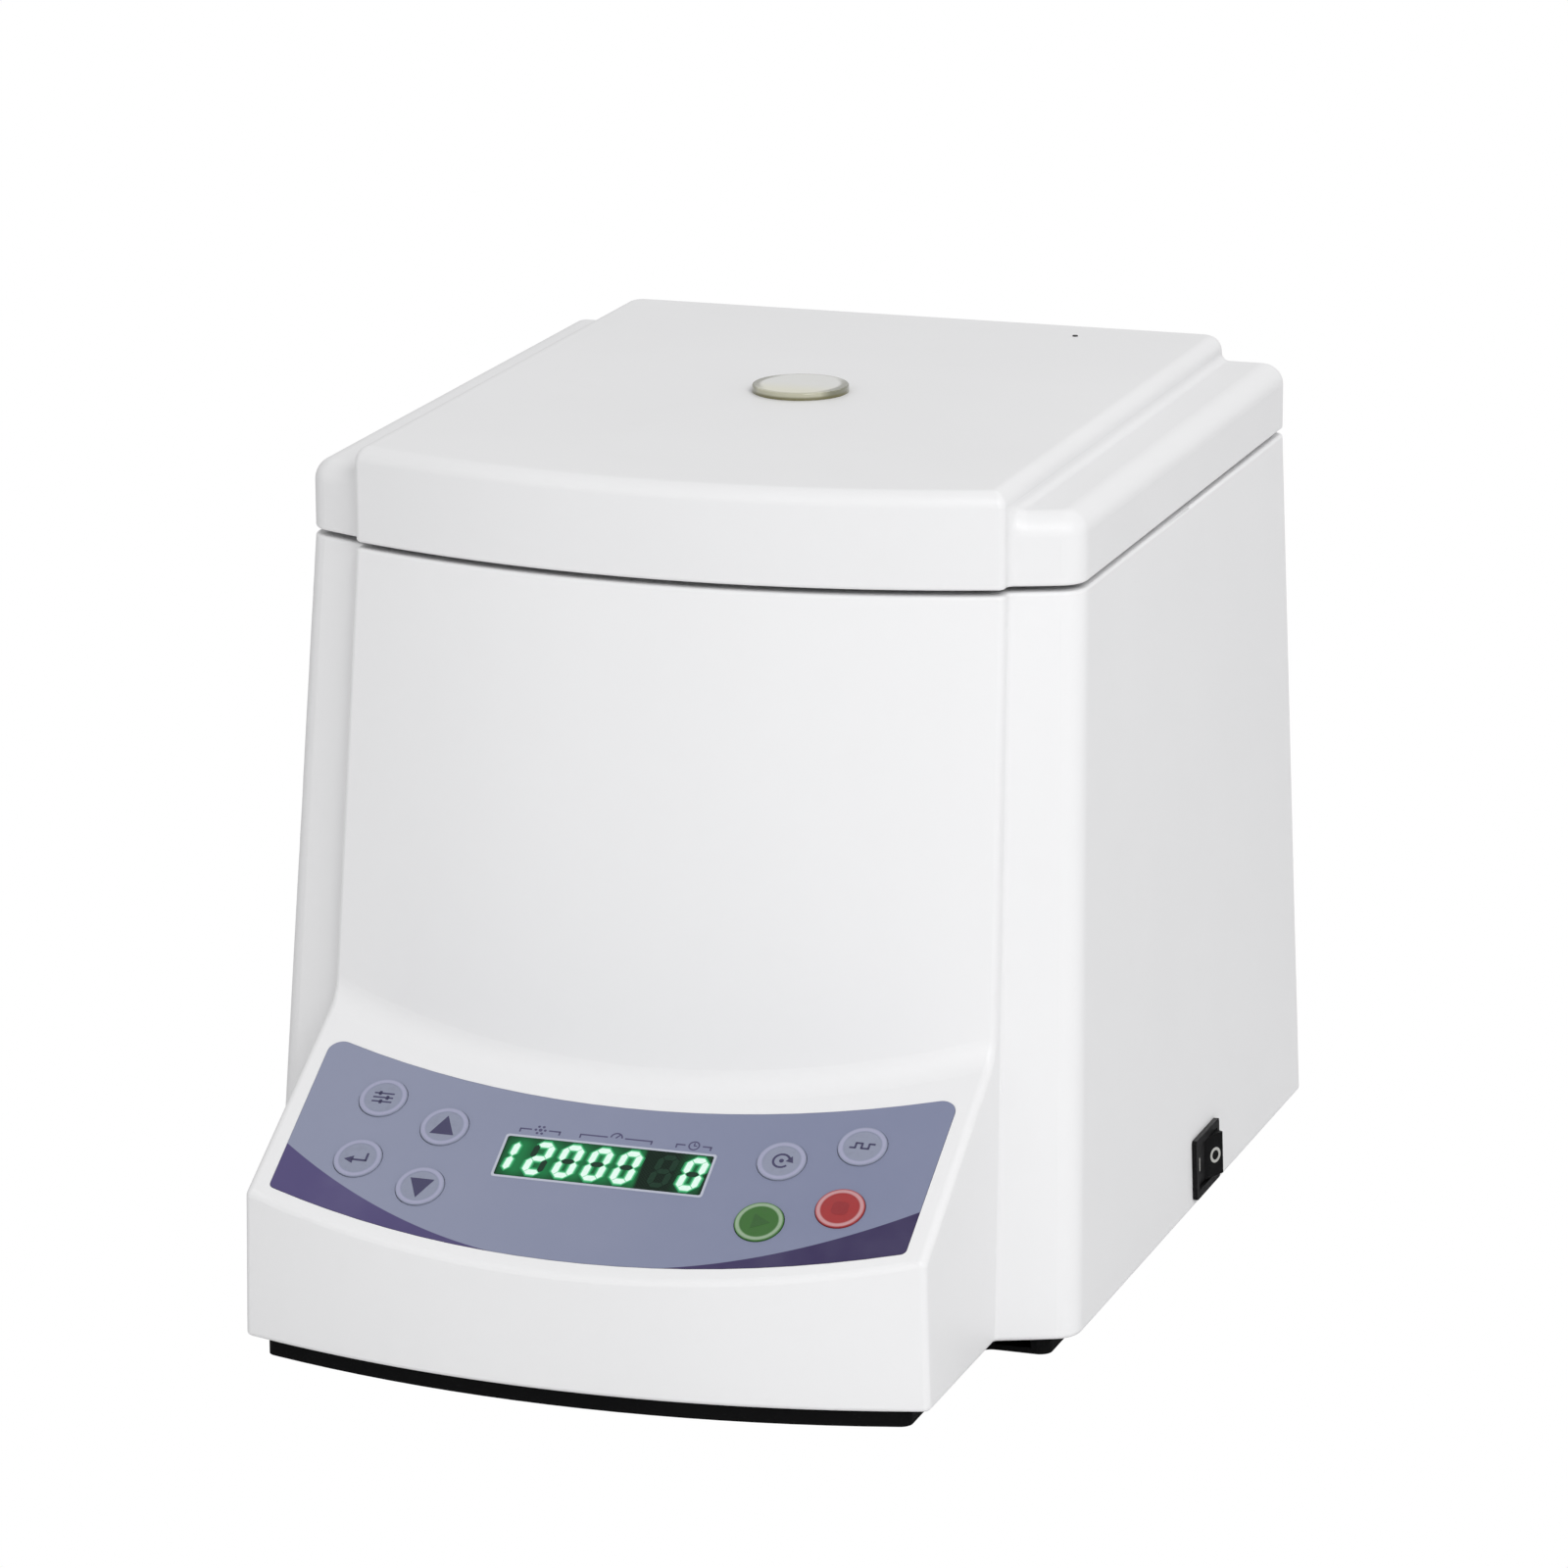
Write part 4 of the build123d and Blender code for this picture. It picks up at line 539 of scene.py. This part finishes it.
def bandFrom(outer, inner, depth, place):
    # a closed flat band between two outlines with as many points each
    band = bmesh.new()
    low, high = depth
    rings = [[band.verts.new(place(x, y, level)) for x, y in outline]
             for level, outline in ((low, outer), (high, outer), (high, inner), (low, inner))]
    for ring, other in zip(rings, rings[1:] + rings[:1]):
        for index in range(len(ring)):
            following = (index + 1) % len(ring)
            band.faces.new([ring[index], ring[following], other[following], other[index]])
    return band


def addObject(name, data):
    made = bpy.data.objects.new(name, data)
    bpy.context.scene.collection.objects.link(made)
    return made


def addPiece(name, work, finish, body):
    bmesh.ops.recalc_face_normals(work, faces=work.faces)
    mesh = bpy.data.meshes.new(name)
    work.to_mesh(mesh)
    work.free()
    mesh.materials.append(finishes[finish])
    piece = addObject(name, mesh)
    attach(piece, body)


def onPanel(across, up, out):
    turn = math.radians(panelPlace["slope"])
    return Vector((across, panelPlace["y"] + up * math.cos(turn) - out * math.sin(turn),
                   panelPlace["z"] + up * math.sin(turn) + out * math.cos(turn))) * mm


def onSkin(thickness):
    # from the film's face up, for what is printed on it
    return panelPlace["skin"], panelPlace["skin"] + thickness


def circle(radius, centre=(0.0, 0.0), steps=64):
    return [(centre[0] + radius * math.cos(2 * math.pi * index / steps),
             centre[1] + radius * math.sin(2 * math.pi * index / steps)) for index in range(steps)]


def roundedBox(halfWidth, halfHeight, corner, centre=(0.0, 0.0), steps=6):
    points = []
    for quarter, (signX, signY) in enumerate(((1, 1), (-1, 1), (-1, -1), (1, -1))):
        for index in range(steps + 1):
            angle = math.pi / 2 * (quarter + index / steps)
            points.append((centre[0] + signX * (halfWidth - corner) + corner * math.cos(angle),
                           centre[1] + signY * (halfHeight - corner) + corner * math.sin(angle)))
    return points


def shifted(outlines, x, y):
    return [[(x + a, y + b) for a, b in outline] for outline in outlines]


# Display: seven-segment digits, a glow in two steps round the lit ones, and the frame round the window
digitSettings = {"height": 14.8, "width": 7.5, "stroke": 2.15, "gap": 0.2, "lean": 0.13}
digitLayers = {"lit_digits": {"finish": "digit", "lit": True, "swell": 0.0, "thickness": 0.06},
               # the unlit segments, drawn with a painted faint glow
               "dim_digits": {"finish": "dimDigit", "lit": False, "swell": 0.0, "thickness": 0.06},
               "digit_halo": {"finish": "digitHalo", "lit": True, "swell": 0.45, "thickness": 0.04},
               "digit_glow": {"finish": "digitGlow", "lit": True, "swell": 1.05, "thickness": 0.02}}
digitCells = [(4.3, "1"), (14.2, "2"), (24.85, "0"), (35.5, "0"), (46.1, "0"), (59.4, " "), (70.0, "0")]
litSegments = {"0": "abcdef", "1": "bc", "2": "abged", " ": ""}
digitReach = digitSettings["width"] / 2 - digitSettings["stroke"] / 2  # from a cell's middle to its uprights
borderSettings = {"outside": 0.55, "outerCorner": 1.2, "inside": 0.35, "innerCorner": 0.8, "thickness": 0.08}


def segmentOutline(segment, swell):
    # a bar with pointed ends, in a cell of the digit's size around the origin
    half = digitReach
    rise = digitSettings["height"] / 2 - digitSettings["stroke"] / 2
    thick = digitSettings["stroke"] / 2 + swell
    gap = digitSettings["gap"] - swell
    lying = {"a": rise, "g": 0.0, "d": -rise}
    standing = {"b": (half, 0.0, rise), "c": (half, -rise, 0.0),
                "f": (-half, 0.0, rise), "e": (-half, -rise, 0.0)}
    if segment in lying:
        y = lying[segment]
        return [(-half + gap, y), (-half + gap + thick, y + thick), (half - gap - thick, y + thick),
                (half - gap, y), (half - gap - thick, y - thick), (-half + gap + thick, y - thick)]
    x, low, high = standing[segment]
    return [(x, low + gap), (x + thick, low + gap + thick), (x + thick, high - gap - thick),
            (x, high - gap), (x - thick, high - gap - thick), (x - thick, low + gap + thick)]


def makeDigits():
    left = -displaySpot["width"] / 2
    for name, layer in digitLayers.items():
        outlines = []
        for offset, digit in digitCells:
            narrow = digit == "1"
            if narrow and not layer["lit"]:
                continue
            # a 1 stands in the middle of its cell
            cell = left + offset - (digitReach if narrow else 0)
            for segment in "abcdefg":
                if (segment in litSegments[digit]) == layer["lit"]:
                    outlines.append([(cell + x + digitSettings["lean"] * y, displaySpot["y"] + y)
                                     for x, y in segmentOutline(segment, layer["swell"])])
        digits = solidFrom(outlines, onSkin(layer["thickness"]), onPanel)
        addPiece(name, digits, layer["finish"], "base")


def makeDisplayFrame():
    centre = (0.0, displaySpot["y"])
    halfWidth = displaySpot["width"] / 2
    halfHeight = displaySpot["height"] / 2
    outside = borderSettings["outside"]
    inside = borderSettings["inside"]
    outer = roundedBox(halfWidth + outside, halfHeight + outside, borderSettings["outerCorner"], centre)
    inner = roundedBox(halfWidth - inside, halfHeight - inside, borderSettings["innerCorner"], centre)
    band = bandFrom(outer, inner, onSkin(borderSettings["thickness"]), onPanel)
    addPiece("display_border", band, "border", "base")


makeDigits()
makeDisplayFrame()
print("display dressed")

# Keys: a printed ring and a picture on each cap. A look is the ring's colours, the ink and the slot.
plainLook = ("pale", "ink", "pale_key")
keyLooks = {"start_key": ("green", "greenInk", "green_key"), "stop_key": ("red", "redInk", "red_key")}


def turned(points, x, y, degrees):
    cosine = math.cos(math.radians(degrees))
    sine = math.sin(math.radians(degrees))
    return [(x + a * cosine - b * sine, y + a * sine + b * cosine) for a, b in points]


def bar(x, y, halfWidth, halfHeight, degrees=0.0):
    corner = min(halfWidth, halfHeight) * 0.6
    return turned(roundedBox(halfWidth, halfHeight, corner, steps=3), x, y, degrees)


def triangle(x, y, size, degrees):
    return turned([(size, 0.0), (-size * 0.75, size * 0.9), (-size * 0.75, -size * 0.9)], x, y, degrees)


def arcBand(radius, halfStroke, start, end, steps=18):
    angles = [math.radians(start + (end - start) * index / steps) for index in range(steps + 1)]
    outer, inner = [[(reach * math.cos(angle), reach * math.sin(angle)) for angle in angles]
                    for reach in (radius + halfStroke, radius - halfStroke)]
    return outer + inner[::-1]


keyIcons = {
    # three sliders, at different settings
    "set_key": [bar(0, 1.9, 3.7, 0.32), bar(-1.5, 1.9, 0.55, 0.95), bar(0, 0, 3.7, 0.32),
                bar(1.6, 0, 0.55, 0.95), bar(0, -1.9, 3.7, 0.32), bar(-0.4, -1.9, 0.55, 0.95)],
    "up_key": [triangle(0, 0, 4.9, 90)],
    "down_key": [triangle(0, -0.4, 4.9, -90)],
    # an arrow that turns back to the left
    "enter_key": [bar(0.6, -0.9, 2.9, 0.42), bar(3.2, 0.6, 0.42, 1.9), triangle(-2.9, -0.9, 1.9, 180)],
    # a turn round an axle
    "force_key": [arcBand(2.9, 0.42, 20, 320), triangle(3.1, 0.9, 1.6, 80), circle(0.85, steps=16)],
    # a short run of pulses
    "short_run_key": [bar(-3.4, -1.0, 1.1, 0.38), bar(-2.4, 0.1, 0.38, 1.4), bar(-1.3, 1.2, 1.3, 0.38),
                      bar(-0.2, 0.1, 0.38, 1.4), bar(1.1, -1.0, 1.4, 0.38), bar(2.3, 0.1, 0.38, 1.4),
                      bar(3.3, 1.2, 1.1, 0.38)],
    "start_key": [triangle(0.4, 0, 3.6, 0)],
    "stop_key": [bar(0, 0, 2.9, 2.9)],
}


def dressKeys():
    depth = (panelPlace["keyTop"], panelPlace["keyTop"] + ringSettings["thickness"])
    for key, spot in keySpots.items():
        colour, ink, slot = keyLooks.get(key, plainLook)
        finishes[key + "_ring"] = ringPrint(key + "_ring_print", spot, ringColours[colour])
        outer, inner = circle(ringSettings["outer"], spot), circle(ringSettings["inner"], spot)
        addPiece(key + "_ring", bandFrom(outer, inner, depth, onPanel), key + "_ring", key + "_cap")
        icon = solidFrom(shifted(keyIcons[key], *spot), depth, onPanel)
        addPiece(key + "_icon", icon, ink, key + "_cap")


# Brackets over the digit groups: each spans its group and is broken round a small picture
bracketSettings = {"gap": 1.9, "drop": 1.6, "half": 0.3, "clear": 3.1, "thickness": 0.04,
                   "spans": ((-34.5, -19.5), (-12.5, 14.0), (22.5, 35.5))}
tubeAngles = [math.pi / 3 * step for step in range(6)]
groupPictures = [
    # a rotor with its tubes, a dial with its pointer, a clock
    [circle(0.7, steps=12)] + [circle(0.52, (1.7 * math.cos(turn), 1.7 * math.sin(turn)), 10)
                               for turn in tubeAngles],
    [arcBand(2.0, 0.3, 0, 180), bar(0.4, 0.6, 1.0, 0.27, 52)],
    [arcBand(1.8, 0.27, 0, 180), arcBand(1.8, 0.27, 180, 360), bar(0, 0.6, 0.24, 0.7),
     bar(0.45, 0, 0.6, 0.24)],
]


def makeBrackets():
    outlines = []
    drop = bracketSettings["drop"]
    half = bracketSettings["half"]
    clear = bracketSettings["clear"]
    foot = displaySpot["y"] + displaySpot["height"] / 2 + bracketSettings["gap"]
    for (low, high), picture in zip(bracketSettings["spans"], groupPictures):
        middle = (low + high) / 2
        outlines += shifted(picture, middle, foot + drop)
        for end, side in ((low, -1), (high, 1)):
            outlines.append(bar((end + middle + side * clear) / 2, foot + drop,
                                (abs(end - middle) - clear) / 2, half))
            outlines.append(bar(end - side * half, foot + drop / 2, half, drop / 2))
    band = solidFrom(outlines, onSkin(bracketSettings["thickness"]), onPanel)
    addPiece("digit_brackets", band, "paleInk", "base")


dressKeys()
makeBrackets()
print("keys dressed")

# Marks on the power switch. The wall's numbers are the housing's own half widths and heights. The rocker's
# face dips between its two ends, and at rest it is tilted about its pivot behind the wall.
switchWall = {"topHalf": 141.6, "bottomHalf": 150.0, "top": 272.3, "height": 258.0}
switchPlace = {"y": 67.5, "z": 28.55, "tilt": 11.0, "pivot": 3.0, "end": 3.0, "dip": 0.5, "half": 12.2}
markSettings = {"fromMiddle": 6.4, "outer": 2.9, "inner": 1.8, "barHalf": 0.45, "barReach": 2.5,
                "thickness": 0.06}


def onWall(along, up, out):
    # millimetres along the wall to the rear, up it, and out of it
    lean = (switchWall["bottomHalf"] - switchWall["topHalf"]) / switchWall["height"]
    wallX = switchWall["topHalf"] + lean * (switchWall["top"] - switchPlace["z"])
    outward = Vector((1.0, 0.0, lean)).normalized()
    upward = Vector((-outward.z, 0.0, outward.x))
    origin = Vector((wallX, switchPlace["y"], switchPlace["z"]))
    return origin + Vector((0, along, 0)) + upward * up + outward * out


def onRocker(along, up, out):
    # out is counted from the rocker's own face
    share = abs(along) / switchPlace["half"]
    face = switchPlace["dip"] + (switchPlace["end"] - switchPlace["dip"]) * share
    turn = math.radians(switchPlace["tilt"])
    reach = face + out + switchPlace["pivot"]
    return onWall(along * math.cos(turn) - reach * math.sin(turn), up,
                  along * math.sin(turn) + reach * math.cos(turn) - switchPlace["pivot"]) * mm


def makeSwitchMarks():
    depth = (0.0, markSettings["thickness"])
    rear = (markSettings["fromMiddle"], 0.0)
    outer, inner = circle(markSettings["outer"], rear), circle(markSettings["inner"], rear)
    addPiece("switch_off_mark", bandFrom(outer, inner, depth, onRocker), "whiteInk", "rocker")
    upright = bar(-markSettings["fromMiddle"], 0, markSettings["barHalf"], markSettings["barReach"])
    addPiece("switch_on_mark", solidFrom([upright], depth, onRocker), "whiteInk", "rocker")


makeSwitchMarks()
print("switch dressed")

# Set: camera, floor, lamps and world. Places of the lamps are in metres.
cameraSettings = {"place": (810.57, -2336.53, 845.33), "right": (0.946478, 0.322745, -0.003929),
                  "up": (-0.080809, 0.248731, 0.965196), "back": (0.312489, -0.913219, 0.261499),
                  "lens": 164.24, "sensor": 36.0, "clip": (0.05, 60)}
lampSettings = {
    "key": {"place": (2.35, -2.4, 2.55), "size": 1.9, "power": 74, "aim": (0.0, 0.0, 0.14)},
    "fill": {"place": (-0.5, -2.8, 1.0), "size": 1.6, "power": 4.5, "aim": (0.0, 0.0, 0.14)},
    "back": {"place": (0.4, 2.0, 2.6), "size": 1.6, "power": 12, "aim": (0.0, 0.0, 0.2)},
}
studioSettings = {"reach": 9.0, "paper": (paint(240, 240, 240), paint(246, 246, 246)),
                  "bench": paint(128, 128, 130), "ambient": 0.67, "backdrop": 1.0}


def makeCamera():
    lens = bpy.data.cameras.new("camera")
    lens.sensor_width = cameraSettings["sensor"]
    lens.sensor_fit = "HORIZONTAL"
    lens.lens = cameraSettings["lens"]
    lens.clip_start, lens.clip_end = cameraSettings["clip"]
    camera = addObject("camera", lens)
    place = [spot * mm for spot in cameraSettings["place"]]
    rows = zip(cameraSettings["right"], cameraSettings["up"], cameraSettings["back"], place)
    camera.matrix_world = Matrix([*rows, (0, 0, 0, 1)])
    bpy.context.scene.camera = camera


def makeFloor():
    mesh = bpy.data.meshes.new("floor")
    reach = studioSettings["reach"]
    corners = [(-reach, -reach, 0), (reach, -reach, 0), (reach, reach, 0), (-reach, reach, 0)]
    mesh.from_pydata(corners, [], [(0, 1, 2, 3)])
    shade = Shade("floor_paper")
    paper = shade.mix(shade.noise(60), *studioSettings["paper"])
    # the camera sees the paper plain white, and what shines reflects a grey bench
    glossy = shade.node("ShaderNodeLightPath", output="Is Glossy Ray")
    shade.finish(Base_Color=shade.mix(glossy, paper, studioSettings["bench"]), Roughness=0.9,
                 Specular_IOR_Level=0.1)
    seen = shade.node("ShaderNodeLightPath", output="Is Camera Ray")
    lit = Wire(shade, shade.shader.outputs[0])
    pick = shade.node("ShaderNodeMixShader", {}, [seen, lit, shade.node("ShaderNodeEmission")])
    shade.feed(shade.tree.nodes["Material Output"].inputs["Surface"], pick)
    mesh.materials.append(shade.material)
    addObject("floor", mesh)


def makeLamps():
    for name, settings in lampSettings.items():
        lamp = bpy.data.lights.new(name, "AREA")
        lamp.shape = "SQUARE"
        lamp.size = settings["size"]
        lamp.energy = settings["power"]
        holder = addObject(name, lamp)
        holder.location = settings["place"]
        toward = Vector(settings["aim"]) - Vector(settings["place"])
        holder.rotation_euler = toward.to_track_quat("-Z", "Y").to_euler()


def makeWorld():
    world = bpy.data.worlds.new("studio")
    bpy.context.scene.world = world
    world.use_nodes = True
    sky = NodeSheet(world.node_tree)
    ambient = sky.tree.nodes["Background"]
    sky.feed(ambient.inputs["Color"], (1, 1, 1, 1))
    sky.feed(ambient.inputs["Strength"], studioSettings["ambient"])
    backdrop = sky.node("ShaderNodeBackground", {}, {"Strength": studioSettings["backdrop"]})
    seen = sky.node("ShaderNodeLightPath", output="Is Camera Ray")
    pick = sky.node("ShaderNodeMixShader", {}, [seen, Wire(sky, ambient.outputs[0]), backdrop])
    sky.feed(sky.tree.nodes["World Output"].inputs["Surface"], pick)


makeCamera()
makeFloor()
makeLamps()
makeWorld()
bpy.context.scene.view_settings.view_transform = "Standard"
print("camera, floor, lamps and world set")
